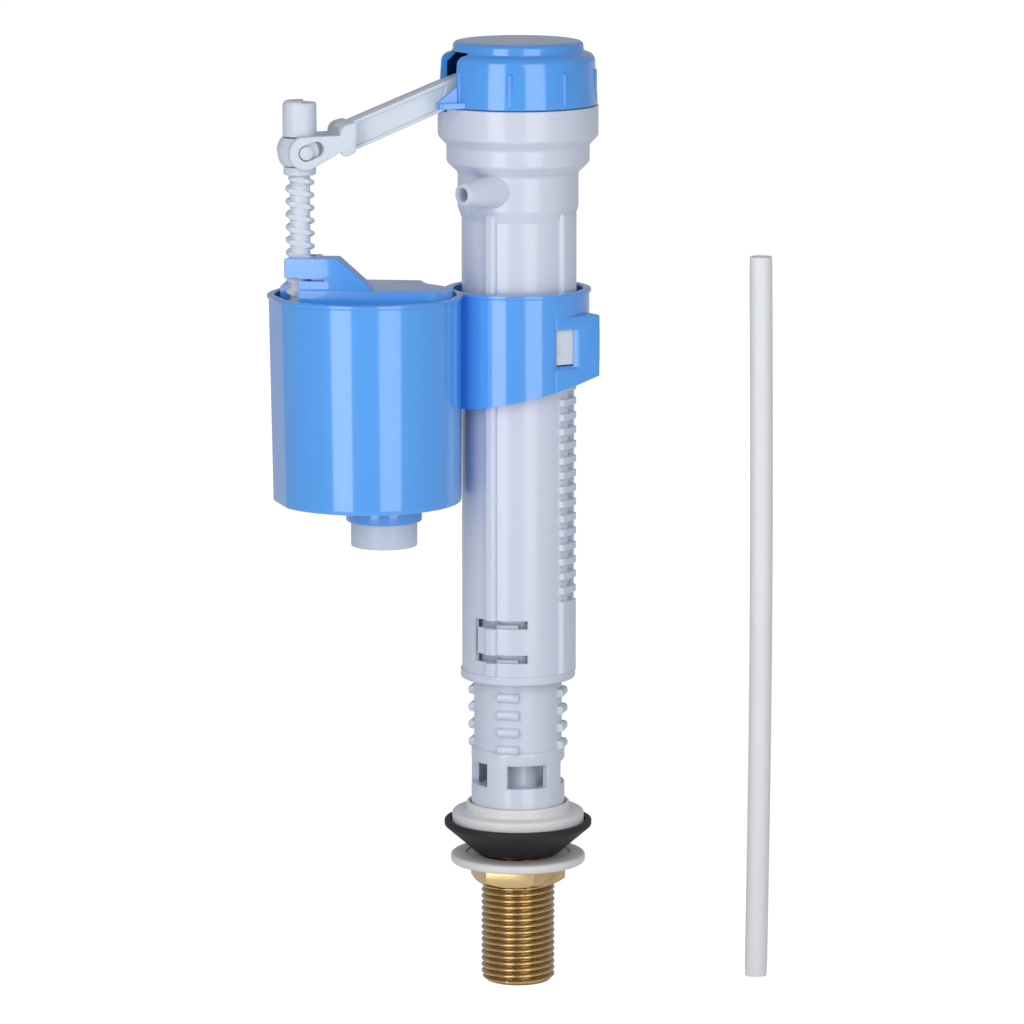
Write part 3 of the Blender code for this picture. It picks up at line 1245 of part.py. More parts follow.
def make_float():
    """An open-bottomed float with a deck and a tower that grips the rod."""
    inset = CUP_WALL + FLOAT_GAP
    body = loft("float", [(cup_outline(inset, FLOAT_DRAFT), FLOAT_BOTTOM), (cup_outline(inset), FLOAT_TOP)],
                BLUE, parts)
    join(body, make_deck(inset), make_tower())
    away = CUP_RADIUS
    bridge_bottom = TOWER_TOP - TOWER_BRIDGE
    cut(body, deck_box("rod_notch", (-away, SEAT_GAP), (-CHANNEL_RADIUS, away),
                       (FLOAT_BOTTOM - 1, bridge_bottom)))
    cut(body, deck_box("tower_slot", (-away, 0), (-CHANNEL_RADIUS, CHANNEL_RADIUS),
                       (bridge_bottom - 1, TOWER_TOP + 1)))
    cut(body, rod("rod_channel", (ROD_X, 0, FLOAT_BOTTOM - 1), (ROD_X, 0, TOWER_TOP + 1), CHANNEL_RADIUS, 24))
    radius = CUP_RADIUS - inset - FLOAT_WALL - FLOAT_DRAFT
    chord = ROD_X + FLOAT_HOLLOW_FROM_ROD - CUP_X
    half = math.degrees(math.acos(-chord / radius))
    hollow = arc((CUP_X, 0), radius, 180 + half, 540 - half, 26)
    cut(body, prism("float_hollow", hollow, FLOAT_BOTTOM - 1, FLOAT_TOP - FLOAT_WALL))
    return body


def make_deck(inset):
    """The raised deck, straight-sided, trimmed to the cup's plan and round the riser."""
    low = FLOAT_TOP - 1
    deck = deck_box("float_deck", (-DECK_BACK_END, DECK_FAR_END), (DECK_FRONT - DECK_WIDTH, DECK_FRONT),
                    (low, DECK_TOP))
    keep(deck, prism("deck_trim", cup_outline(inset + DECK_INSET), low - 1, DECK_TOP + 1))
    cut(deck, rod("deck_riser_gap", (0, 0, low - 1), (0, 0, DECK_TOP + 1), DECK_RISER_CLEARANCE, LARGE_STEPS))
    return deck


def make_tower():
    """The tower round the rod: a block with a sloping end, trimmed so that it can dip into the cup."""
    low = DECK_TOP - 1
    outline = [(-TOWER_LEFT, low), (TOWER_RIGHT_FOOT, low), (TOWER_RIGHT_FOOT, DECK_TOP + 0.6),
               (TOWER_RIGHT_TOP, TOWER_TOP), (-TOWER_LEFT, TOWER_TOP)]
    tower = slab("float_tower", outline, -TOWER_HALF_WIDTH, TOWER_HALF_WIDTH)
    turn = Matrix.Rotation(math.radians(DECK_TURN), 4, "Z")
    tower.data.transform(Matrix.Translation((ROD_X * MM, 0, 0)) @ turn)
    keep(tower, prism("tower_trim", cup_outline(CUP_WALL + RUN_GAP), low - 1, TOWER_TOP + 1))
    bridge = TOWER_TOP - TOWER_BRIDGE
    face = TOWER_HALF_WIDTH
    left = -TOWER_LEFT - 1
    cut(tower, deck_box("tower_recess", (left, RECESS_LENGTH), (face - RECESS_DEPTH, face + 1),
                        (DECK_TOP + RECESS_MARGIN, bridge - SLIT_HEIGHT)))
    cut(tower, deck_box("tower_slit", (left, RECESS_LENGTH - SLIT_MARGIN), (face - SLIT_DEPTH, face + 2),
                        (bridge - SLIT_HEIGHT - RECESS_MARGIN, bridge - RECESS_MARGIN)))
    return tower


# Refill tube

def make_refill_tube():
    """A cut length of tube that stands beside the valve, slightly bowed."""
    bottom = -TAIL_BELOW_FLOOR + REFILL_ABOVE_TAIL
    path = bpy.data.curves.new("refill_tube_path", "CURVE")
    path.dimensions = "3D"
    path.bevel_depth = REFILL_RADIUS * MM
    path.bevel_resolution = 3
    path.use_fill_caps = True
    spline = path.splines.new("POLY")
    stops = 8
    spline.points.add(stops - 1)
    for index, point in enumerate(spline.points):
        share = index / (stops - 1)
        bow = REFILL_BOW * math.sin(math.pi * share)
        point.co = ((REFILL_X + bow) * MM, REFILL_Y * MM, (bottom + REFILL_LENGTH * share) * MM, 1.0)
    guide = bpy.data.objects.new("refill_tube_path", path)
    cutters.objects.link(guide)
    tube = mesh_from_curve(guide, "refill_tube", parts)
    tube.data.materials.append(MILKY)
    path.bevel_depth = (REFILL_RADIUS - REFILL_WALL) * MM
    bore = mesh_from_curve(guide, "refill_bore", cutters)
    bore.data.transform(stretch_about(bottom + REFILL_LENGTH / 2, 1.02))
    bpy.data.objects.remove(guide, do_unlink=True)
    cut(tube, bore)
    return tube


def mesh_from_curve(guide, name, group):
    graph = bpy.context.evaluated_depsgraph_get()
    mesh = bpy.data.meshes.new_from_object(guide.evaluated_get(graph))
    mesh.name = name
    bm = bmesh.new()
    bm.from_mesh(mesh)
    bmesh.ops.remove_doubles(bm, verts=bm.verts, dist=0.00001)
    bm.to_mesh(mesh)
    bm.free()
    made = bpy.data.objects.new(name, mesh)
    made.matrix_world = guide.matrix_world
    group.objects.link(made)
    if group is cutters:
        made.hide_render = True
        made.display_type = "WIRE"
    return made


def stretch_about(height, factor):
    move = Matrix.Translation((0, 0, height * MM))
    return move @ Matrix.Diagonal((1, 1, factor, 1)) @ move.inverted()


# Assembly: every moving group hangs on an empty that stands on its joint's axis

def carrier(name, place, parent=None):
    empty = bpy.data.objects.new(name, None)
    empty.empty_display_size = 0.01
    parts.objects.link(empty)
    empty.location = [value * MM for value in place]
    if parent:
        hang(empty, parent)
    return empty


def hang(piece, parent):
    bpy.context.view_layer.update()
    piece.parent = parent
    piece.matrix_parent_inverse = parent.matrix_world.inverted()


def shade(piece):
    piece.data.shade_smooth()
    for change in piece.modifiers:
        if change.type == "SCREW":
            change.use_smooth_shade = True
    piece.data.set_sharp_from_angle(angle=math.radians(30))


base = [make_inlet_tail(), make_inlet_filter(), make_cone_seal(), make_base_flange(), make_shank_tube(),
        make_shank_o_ring(), make_refill_tube()]
washer = [make_clamp_washer()]
nut = [make_back_nut()]
riser = [make_riser_tube(), make_feed_tube(), make_valve_head(), make_diaphragm(), make_pilot_plate(),
         make_top_cap(), make_lever_pin()]
core = [make_diaphragm_core()]
lever = [make_lever_arm(), make_pilot_seal()]
trunnion = [make_trunnion()]
spindle = [make_adjuster_rod()]
floater = [make_float()]
cup = [make_float_cup(), make_drain_collar()]
clip = [make_cup_lock_clip()]
poppet = [make_drain_float()]

washer_axis = carrier("washer_axis", (0, 0, 0))
nut_axis = carrier("nut_axis", (0, 0, NUT_TOP), washer_axis)
riser_axis = carrier("riser_axis", (0, 0, RISER_LIFT))
core_axis = carrier("core_axis", (0, 0, DIAPHRAGM_TOP), riser_axis)
lever_axis = carrier("lever_axis", (PIVOT_X, 0, PIVOT_Z), riser_axis)
trunnion_axis = carrier("trunnion_axis", (ROD_X, 0, PIN_Z), riser_axis)
spindle_axis = carrier("spindle_axis", (ROD_X, 0, PIN_Z), trunnion_axis)
float_axis = carrier("float_axis", (ROD_X, 0, DECK_TOP), trunnion_axis)
cup_axis = carrier("cup_axis", (0, 0, CUP_RIM), riser_axis)
clip_axis = carrier("clip_axis", (0, 0, CLIP_MIDDLE), cup_axis)
poppet_axis = carrier("poppet_axis", (DRAIN_X, 0, CUP_BOTTOM), cup_axis)

groups = ((base, None), (washer, washer_axis), (nut, nut_axis), (riser, riser_axis), (core, core_axis),
          (lever, lever_axis), (trunnion, trunnion_axis), (spindle, spindle_axis), (floater, float_axis),
          (cup, cup_axis), (clip, clip_axis), (poppet, poppet_axis))
for pieces, axis in groups:
    for piece in pieces:
        shade(piece)
        if axis:
            hang(piece, axis)
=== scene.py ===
import math

import bmesh
import bpy
from mathutils import Matrix, Vector


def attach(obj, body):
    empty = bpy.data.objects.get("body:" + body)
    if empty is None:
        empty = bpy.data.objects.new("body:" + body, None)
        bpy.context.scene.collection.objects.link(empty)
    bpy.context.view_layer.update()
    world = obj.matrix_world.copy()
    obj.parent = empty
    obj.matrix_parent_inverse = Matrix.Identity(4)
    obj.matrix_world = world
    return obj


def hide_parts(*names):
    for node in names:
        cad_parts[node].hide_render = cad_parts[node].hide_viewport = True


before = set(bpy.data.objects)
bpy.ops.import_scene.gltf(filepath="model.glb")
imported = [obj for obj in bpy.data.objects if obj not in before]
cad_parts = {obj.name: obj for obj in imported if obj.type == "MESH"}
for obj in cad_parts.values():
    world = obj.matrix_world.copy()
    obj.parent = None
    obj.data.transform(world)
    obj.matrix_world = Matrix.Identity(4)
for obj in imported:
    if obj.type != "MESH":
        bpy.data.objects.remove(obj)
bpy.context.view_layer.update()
mm = 0.001


# shader maths

class Wire:
    # one output socket; arithmetic on it adds Math nodes to the finish it belongs to
    def __init__(self, finish, socket):
        self.finish = finish
        self.socket = socket

    def maths(self, operation, *values):
        return self.finish.node("ShaderNodeMath", {"operation": operation}, dict(enumerate(values)))

    def __add__(self, other):
        return self.maths("ADD", self, other)

    def __sub__(self, other):
        return self.maths("SUBTRACT", self, other)

    def __rsub__(self, other):
        return self.maths("SUBTRACT", other, self)

    def __mul__(self, other):
        return self.maths("MULTIPLY", self, other)

    def __truediv__(self, other):
        return self.maths("DIVIDE", self, other)

    __radd__ = __add__
    __rmul__ = __mul__


class Finish:
    def __init__(self, name, tree=None):
        if tree is None:
            self.material = bpy.data.materials.new(name)
            self.material.use_nodes = True
            tree = self.material.node_tree
        self.tree = tree

    def node(self, kind, settings=None, values=None, output=0):
        made = self.tree.nodes.new(kind)
        for key, value in (settings or {}).items():
            setattr(made, key, value)
        self.feed(made, values or {})
        return Wire(self, made.outputs[output])

    def feed(self, node, values):
        for key, value in values.items():
            socket = node.inputs[key]
            if isinstance(value, Wire):
                self.tree.links.new(value.socket, socket)
            else:
                socket.default_value = value

    def shader(self, values):
        self.feed(self.tree.nodes["Principled BSDF"], values)

    def place(self):
        return self.node("ShaderNodeTexCoord", output=3)

    def noise(self, scale, detail=3.0, stretch=None):
        where = self.place()
        if stretch:
            where = self.node("ShaderNodeVectorMath", {"operation": "MULTIPLY"}, {0: where, 1: stretch}, 0)
        return self.node("ShaderNodeTexNoise", None, {"Vector": where, "Scale": scale, "Detail": detail})

    def between(self, wire, low, high):
        return wire * (high - low) + low

    def blendColours(self, mask, first, second):
        mix = self.tree.nodes.new("ShaderNodeMix")
        mix.data_type = "RGBA"
        self.feed(mix, {0: mask, 6: first, 7: second})
        return Wire(self, mix.outputs[2])

    def bump(self, height, strength, distance):
        return self.node("ShaderNodeBump", None, {"Height": height, "Strength": strength, "Distance": distance})


def moulded(name, look):
    # moulded plastic: broad colour drift, fine grain in the gloss and a very shallow skin texture
    finish = Finish(name)
    drift = finish.noise(look["driftScale"], 2.0)
    grain = finish.noise(look["grainScale"], 4.0)
    flow = finish.noise(look["driftScale"] * 0.8, 2.0, (1.0, 1.0, 0.25))
    colour = finish.blendColours(drift, (*look["colour"], 1.0), (*look["second"], 1.0))
    gloss = finish.between(grain, look["gloss"][0], look["gloss"][1])
    skin = grain * look["grainShare"] + flow * (1 - look["grainShare"])
    finish.shader({"Base Color": colour, "Roughness": gloss,
                   "Normal": finish.bump(skin, look["skin"], look["skinDepth"]),
                   "IOR": look.get("ior", 1.5), "Coat Weight": look.get("coat", 0.0),
                   "Coat Roughness": 0.05, "Subsurface Weight": look.get("glow", 0.0),
                   "Subsurface Radius": (1.0, 0.9, 0.85), "Subsurface Scale": look.get("glowDepth", 0.002)})
    return finish.material


looks = {
    "blue": {"colour": (0.07, 0.34, 0.88), "second": (0.085, 0.38, 0.93), "gloss": (0.14, 0.22),
             "driftScale": 22.0, "grainScale": 900.0, "grainShare": 0.3, "skin": 0.08, "skinDepth": 0.0002,
             "coat": 1.0, "ior": 1.52},
    "white": {"colour": (0.64, 0.69, 0.79), "second": (0.68, 0.72, 0.82), "gloss": (0.16, 0.26),
              "driftScale": 18.0, "grainScale": 800.0, "grainShare": 0.3, "skin": 0.08, "skinDepth": 0.0002,
              "coat": 0.25, "ior": 1.5},
    "warm": {"colour": (0.76, 0.755, 0.735), "second": (0.80, 0.795, 0.775), "gloss": (0.3, 0.42),
             "driftScale": 25.0, "grainScale": 1100.0, "grainShare": 0.5, "skin": 0.12, "skinDepth": 0.0002},
    "natural": {"colour": (0.66, 0.73, 0.80), "second": (0.70, 0.76, 0.83), "gloss": (0.32, 0.46),
                "driftScale": 30.0, "grainScale": 1400.0, "grainShare": 0.6, "skin": 0.12, "skinDepth": 0.0002,
                "glow": 0.12, "glowDepth": 0.002},
    "milky": {"colour": (0.60, 0.67, 0.76), "second": (0.65, 0.71, 0.79), "gloss": (0.28, 0.4),
              "driftScale": 40.0, "grainScale": 1200.0, "grainShare": 0.4, "skin": 0.12, "skinDepth": 0.0002,
              "glow": 0.35, "glowDepth": 0.003},
    "tubing": {"colour": (0.86, 0.855, 0.845), "second": (0.89, 0.885, 0.875), "gloss": (0.28, 0.4),
               "driftScale": 40.0, "grainScale": 1200.0, "grainShare": 0.4, "skin": 0.12, "skinDepth": 0.0002,
               "glow": 0.2, "glowDepth": 0.003},
    "rubber": {"colour": (0.012, 0.012, 0.014), "second": (0.022, 0.022, 0.024), "gloss": (0.5, 0.68),
               "driftScale": 60.0, "grainScale": 1600.0, "grainShare": 0.8, "skin": 0.3, "skinDepth": 0.0003,
               "ior": 1.45},
}


def turnedMetal(name, look):
    # machined metal: fine rings round the axis, a slow tint change, and painted shade that darkens the colour down in
    # the thread roots
    finish = Finish(name)
    rings = finish.noise(260.0, 3.0, (0.15, 0.15, 6.0))
    tint = finish.noise(35.0, 3.0)
    colour = finish.blendColours(tint, (*look["colour"], 1.0), (*look["second"], 1.0))
    # painted shade: the base colour is blended towards a dark brown in the thread roots, by distance from the axis,
    # where shade falls between the crests
    if "rootRadius" in look:
        spot = finish.node("ShaderNodeVectorMath", {"operation": "MULTIPLY"},
                           {0: finish.place(), 1: (1.0, 1.0, 0.0)})
        radius = finish.node("ShaderNodeVectorMath", {"operation": "LENGTH"}, {0: spot}, 1)
        depth = finish.node("ShaderNodeMapRange", {"clamp": True},
                            {0: radius, 1: look["rootRadius"] * mm, 2: look["crestRadius"] * mm, 3: 0.0, 4: 1.0})
        colour = finish.blendColours(depth, (*look["paintedRootShade"], 1.0), colour)
    finish.shader({"Base Color": colour, "Metallic": 1.0,
                   "Roughness": finish.between(rings, look["gloss"][0], look["gloss"][1]),
                   "Normal": finish.bump(rings, 0.06, 0.0002)})
    return finish.material


metals = {
    "brass": {"colour": (0.66, 0.48, 0.22), "second": (0.73, 0.54, 0.27), "gloss": (0.12, 0.26)},
    # the thread's dark root colour is painted shade, not a patina
    "brassThread": {"colour": (0.66, 0.48, 0.22), "second": (0.73, 0.54, 0.27), "gloss": (0.14, 0.28),
                    "rootRadius": 9.3, "crestRadius": 10.1, "paintedRootShade": (0.26, 0.15, 0.06)},
    "steel": {"colour": (0.58, 0.58, 0.59), "second": (0.66, 0.66, 0.66), "gloss": (0.2, 0.32)},
}

finishes = {name: moulded(name, look) for name, look in looks.items()}
finishes.update({name: turnedMetal(name, look) for name, look in metals.items()})
print("finishes made")


# mesh helpers, all in millimetres

def addPiece(name, bm, finish, body, node=None, smooth=30.0):
    bmesh.ops.recalc_face_normals(bm, faces=bm.faces)
    mesh = bpy.data.meshes.new(name)
    bm.to_mesh(mesh)
    bm.free()
    mesh.transform(Matrix.Scale(mm, 4))
    piece = bpy.data.objects.new(name, mesh)
    bpy.context.scene.collection.objects.link(piece)
    return dress(piece, finish, body, node, smooth)


def dress(piece, finish, body, node, smooth=30.0):
    piece.data.materials.clear()
    if finish:
        piece.data.materials.append(finishes[finish])
    piece.data.shade_smooth()
    piece.data.set_sharp_from_angle(angle=math.radians(smooth))
    if body:
        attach(piece, body)
    if node:
        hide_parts(node)
    return piece


def arc(centre, radius, start, end, count):
    return [(centre[0] + radius * math.cos(math.radians(start + (end - start) * step / count)),
             centre[1] + radius * math.sin(math.radians(start + (end - start) * step / count)))
            for step in range(count + 1)]


def rounded(points, radius, closed=True, count=4):
    # fillets each corner of an outline; a point may carry its own radius as a third value
    made = []
    total = len(points)
    for index, point in enumerate(points):
        corner = Vector(point[:2])
        own = point[2] if len(point) > 2 else radius
        if own <= 0 or (not closed and index in (0, total - 1)):
            made.append(tuple(corner))
            continue
        before = Vector(points[index - 1][:2]) - corner
        after = Vector(points[(index + 1) % total][:2]) - corner
        opening = before.angle(after)
        if opening > math.radians(172):
            made.append(tuple(corner))
            continue
        reach = min(own / math.tan(opening / 2), before.length * 0.48, after.length * 0.48)
        real = reach * math.tan(opening / 2)
        middle = corner + (before.normalized() + after.normalized()).normalized() * (real / math.sin(opening / 2))
        first = corner + before.normalized() * reach - middle
        last = corner + after.normalized() * reach - middle
        sweep = math.atan2(first.x * last.y - first.y * last.x, first.dot(last))
        for step in range(count + 1):
            turn = sweep * step / count
            made.append((middle.x + first.x * math.cos(turn) - first.y * math.sin(turn),
                         middle.y + first.x * math.sin(turn) + first.y * math.cos(turn)))
    return made


def sideOf(outline):
    # 1 for an outline that runs anticlockwise, else -1
    area = sum(a[0] * b[1] - b[0] * a[1] for a, b in zip(outline, outline[1:] + outline[:1]))
    return 1 if area > 0 else -1


def room(outline):
    # the largest inset that leaves every edge of an outline some length
    total = len(outline)
    side = sideOf(outline)
    edges = [Vector(outline[(index + 1) % total]) - Vector(outline[index]) for index in range(total)]
    turns = [math.tan(side * math.atan2(edges[index - 1].cross(edges[index]), edges[index - 1].dot(edges[index])) / 2)
             for index in range(total)]
    limits = [0.85 * edges[index].length / (turns[index] + turns[(index + 1) % total]) for index in range(total)
              if turns[index] + turns[(index + 1) % total] > 1e-6]
    return min(limits)


def offset(outline, amount):
    # moves an outline in by an amount along the mean normal at each point
    made = []
    total = len(outline)
    side = sideOf(outline)
    for index in range(total):
        here = Vector(outline[index])
        before = (here - Vector(outline[index - 1])).normalized()
        after = (Vector(outline[(index + 1) % total]) - here).normalized()
        along = (before + after)
        along = along.normalized() if along.length > 1e-6 else before
        inward = Vector((-along.y, along.x)) * side
        lean = max(inward.dot(Vector((-before.y, before.x)) * side), 0.4)
        made.append(tuple(here + inward * (amount / lean)))
    return made


def latheMesh(profile, steps=96, at=(0.0, 0.0), closed=True):
    # profile points are (radius, height); an open profile starts and ends on the axis
    bm = bmesh.new()
    rings = []
    for radius, height in profile:
        if radius < 1e-5:
            rings.append([bm.verts.new((at[0], at[1], height))])
        else:
            rings.append([bm.verts.new((at[0] + radius * math.cos(2 * math.pi * s / steps),
                                        at[1] + radius * math.sin(2 * math.pi * s / steps), height))
                          for s in range(steps)])
    pairs = list(zip(rings, rings[1:])) + ([(rings[-1], rings[0])] if closed else [])
    for low, high in pairs:
        for s in range(steps):
            t = (s + 1) % steps
            corners = [low[s % len(low)], low[t % len(low)], high[t % len(high)], high[s % len(high)]]
            unique = list(dict.fromkeys(corners))
            if len(unique) > 2:
                bm.faces.new(unique)
    return bm


def loftMesh(rings):
    # joins outlines of equal count, each with its height, and closes both ends
    bm = bmesh.new()
    levels = [[bm.verts.new((x, y, height)) for x, y in outline] for outline, height in rings]
    for low, high in zip(levels, levels[1:]):
        for index in range(len(low)):
            after = (index + 1) % len(low)
            bm.faces.new((low[index], low[after], high[after], high[index]))
    bm.faces.new(list(reversed(levels[0])))
    bm.faces.new(levels[-1])
    return bm


def softPrism(outline, low, high, edge=0.3):
    # an extruded outline whose top and bottom edges are rounded
    edge = min(edge, room(outline))
    rings = []
    turn = 3
    for step in range(turn + 1):
        angle = math.pi / 2 * step / turn
        rings.append((offset(outline, edge * (1 - math.sin(angle))), low + edge * (1 - math.cos(angle))))
    for step in range(turn + 1):
        angle = math.pi / 2 * (1 - step / turn)
        rings.append((offset(outline, edge * (1 - math.sin(angle))), high - edge * (1 - math.cos(angle))))
    return loftMesh(rings)


def boxOutline(low, high, radius=0.4):
    return rounded([(low[0], low[1]), (high[0], low[1]), (high[0], high[1]), (low[0], high[1])], radius)


def softBox(low, high, edge=0.3, corner=0.4):
    return softPrism(boxOutline(low[:2], high[:2], corner), low[2], high[2], edge)


def turned(bm, angle, centre=(0.0, 0.0)):
    place = Matrix.Translation((centre[0], centre[1], 0))
    bm.transform(place @ Matrix.Rotation(math.radians(angle), 4, "Z") @ place.inverted())
    return bm


def sideways(bm):
    # an outline drawn as (x, z) and extruded upwards is laid on its side, along Y
    bm.transform(Matrix(((1, 0, 0, 0), (0, 0, -1, 0), (0, 1, 0, 0), (0, 0, 0, 1))))
    return bm


def between(start, end, radius, endRadius=None, steps=48, edge=0.0):
    # a cylinder or cone between two points
    start, end = Vector(start), Vector(end)
    length = (end - start).length
    last = radius if endRadius is None else endRadius
    profile = [(0.0, 0.0), (radius - edge, 0.0)]
    profile += [(radius - edge * 0.3, edge * 0.3), (radius, edge)] if edge else []
    profile += [(last, length - edge), (last - edge * 0.3, length - edge * 0.3)] if edge else []
    profile += [(last - edge, length), (0.0, length)]
    bm = latheMesh(profile, steps, closed=False)
    bm.transform(Matrix.Translation(start) @ (end - start).to_track_quat("Z", "Y").to_matrix().to_4x4())
    return bm


def tool(bm):
    bmesh.ops.remove_doubles(bm, verts=bm.verts, dist=1e-5)
    bmesh.ops.recalc_face_normals(bm, faces=bm.faces)
    mesh = bpy.data.meshes.new("tool")
    bm.to_mesh(mesh)
    bm.free()
    mesh.transform(Matrix.Scale(mm, 4))
    made = bpy.data.objects.new("tool", mesh)
    bpy.context.scene.collection.objects.link(made)
    return made


def carve(piece, bm, operation="DIFFERENCE"):
    # one Boolean, applied at once
    other = tool(bm)
    change = piece.modifiers.new("carve", "BOOLEAN")
    change.operation = operation
    change.solver = "EXACT"
    change.object = other
    settle(piece)
    bpy.data.objects.remove(other, do_unlink=True)
    return piece


def settle(piece):
    graph = bpy.context.evaluated_depsgraph_get()
    mesh = bpy.data.meshes.new_from_object(piece.evaluated_get(graph))
    if not mesh.polygons:
        raise ValueError("a cut left nothing of " + piece.name)
    old = piece.data
    piece.modifiers.clear()
    piece.data = mesh
    mesh.name = piece.name
    bpy.data.meshes.remove(old)


def raw(name, bm):
    # a working piece, dressed once its cuts are done
    made = tool(bm)
    made.name = name
    made.data.name = name
    return made


def gather(piece, *meshes):
    # adds closed shells that stand in the piece's own wall
    bm = bmesh.new()
    bm.from_mesh(piece.data)
    for other in meshes:
        bmesh.ops.recalc_face_normals(other, faces=other.faces)
        extra = bpy.data.meshes.new("extra")
        other.to_mesh(extra)
        other.free()
        extra.transform(Matrix.Scale(mm, 4))
        bm.from_mesh(extra)
        bpy.data.meshes.remove(extra)
    bm.to_mesh(piece.data)
    bm.free()
    return piece


def sleeveMesh(angles, heights, outer, inner=None, gone=None):
    # a tube as a grid over angle and height; cells that are gone become openings with walls
    bm = bmesh.new()

    def grid(radius):
        return [[bm.verts.new((radius(a, z) * math.cos(math.radians(a)),
                               radius(a, z) * math.sin(math.radians(a)), z)) for a in angles] for z in heights]

    outside = grid(outer)
    inside = grid(inner) if inner else None
    count = len(angles)

    def stands(row, column):
        if not 0 <= row < len(heights) - 1:
            return False
        if not gone:
            return True
        left = angles[column]
        right = angles[(column + 1) % count] + (360 if column == count - 1 else 0)
        return not gone((left + right) / 2 % 360, (heights[row] + heights[row + 1]) / 2)

    for row in range(len(heights) - 1):
        for column in range(count):
            if not stands(row, column):
                continue
            after = (column + 1) % count
            corners = [(row, column), (row, after), (row + 1, after), (row + 1, column)]
            bm.faces.new([outside[i][j] for i, j in corners])
            if not inside:
                continue
            bm.faces.new([inside[i][j] for i, j in reversed(corners)])
            beside = [(row - 1, column), (row, after), (row + 1, column), (row, (column - 1) % count)]
            for side, (i, j) in enumerate(beside):
                if not stands(i, j):
                    (a, b), (c, d) = corners[side], corners[(side + 1) % 4]
                    bm.faces.new((outside[a][b], inside[a][b], inside[c][d], outside[c][d]))
    if not inside:
        bm.faces.new(list(reversed(outside[0])))
        bm.faces.new(outside[-1])
    loose = [vert for vert in bm.verts if not vert.link_faces]
    bmesh.ops.delete(bm, geom=loose, context="VERTS")
    return bm


def spaced(low, high, step, extras=()):
    # even stops with extra ones added, near twins left out
    count = max(1, round((high - low) / step))
    stops = [low + (high - low) * index / count for index in range(count + 1)]
    kept = sorted(value for value in extras if low < value < high)
    stops = [value for value in stops if all(abs(value - extra) > step * 0.2 for extra in kept)]
    return sorted(set(stops + kept) | {low, high})


def apart(angle, other):
    return abs((angle - other + 180) % 360 - 180)


def bulge(distance, half, edge):
    # 1 inside, falling to 0 over a rounded edge that ends at half
    if distance >= half:
        return 0.0
    if distance <= half - edge:
        return 1.0
    share = (distance - half + edge) / edge
    return math.sqrt(max(0.0, 1 - share * share))


# tail, nut, washer, seal and flange

tail = {"crest": 10.48, "root": 9.34, "pitch": 1.814, "bottom": -36.9, "top": 9.1, "bore": 6.3,
        "hubRadius": 8.6, "hubTop": 17.1, "chamfer": 1.15, "steps": 96, "rowsPerTurn": 9}


def threadShape(share):
    # rounded pipe thread: 0 at the root, 1 at the crest
    wave = 0.5 - 0.5 * math.cos(2 * math.pi * share)
    return min(1.0, max(0.0, (wave - 0.5) * 1.35 + 0.5)) if 0.15 < wave < 0.85 else (wave - 0.5) * 0.95 + 0.5


def makeTail():
    t = tail
    depth = t["crest"] - t["root"]

    def radius(angle, z):
        share = (z / t["pitch"] - angle / 360) % 1
        start = min(1.0, max(0.0, (z - t["bottom"]) / t["chamfer"]))
        full = t["root"] + depth * threadShape(share)
        return min(full, t["root"] - 0.25 + (depth + 0.25) * start)

    angles = [360 * s / t["steps"] for s in range(t["steps"])]
    heights = spaced(t["bottom"], t["top"], t["pitch"] / t["rowsPerTurn"])
    piece = addPiece("inletTail", sleeveMesh(angles, heights, radius, lambda a, z: t["bore"]),
                     "brassThread", "base", "inlet_tail", 50)
    hub = rounded([(t["hubRadius"], t["hubTop"]), (t["hubRadius"], t["top"] - 0.5), (t["bore"], t["top"] - 0.5),
                   (t["bore"], t["hubTop"])], 0.3)
    addPiece("inletTailHub", latheMesh(hub, 64), "brass", "base")
    return piece


nut = {"flats": 23.8, "top": -2.8, "bottom": -8.0, "bore": 10.78, "corner": 30.0, "chamferRise": 0.58}


def makeNut():
    n = nut
    corner = n["flats"] / 2 / math.cos(math.radians(30))
    hexagon = [(corner * math.cos(math.radians(n["corner"] + 60 * k)),
                corner * math.sin(math.radians(n["corner"] + 60 * k)), 0.35) for k in range(6)]
    piece = raw("backNut", softPrism(rounded(hexagon, 0.35, count=3), n["bottom"], n["top"], 0.15))
    wide = corner + 3
    rise = (wide - n["flats"] / 2) * n["chamferRise"]
    cone = [(0.0, n["top"] + 1), (wide, n["top"] + 1), (wide, n["bottom"] + rise),
            (n["flats"] / 2 - 0.1, n["bottom"] - 0.05), (0.0, n["bottom"] - 0.05)]
    carve(piece, latheMesh(cone, 96, closed=False), "INTERSECT")
    hole = [(0.0, n["top"] + 1), (n["bore"] + 0.6, n["top"] + 1), (n["bore"] + 0.6, n["top"]),
            (n["bore"], n["top"] - 0.6), (n["bore"], n["bottom"] + 0.6), (n["bore"] + 0.6, n["bottom"]),
            (n["bore"] + 0.6, n["bottom"] - 1), (0.0, n["bottom"] - 1)]
    carve(piece, latheMesh(hole, 96, closed=False))
    return dress(piece, "brass", "nut", "back_nut", 25)


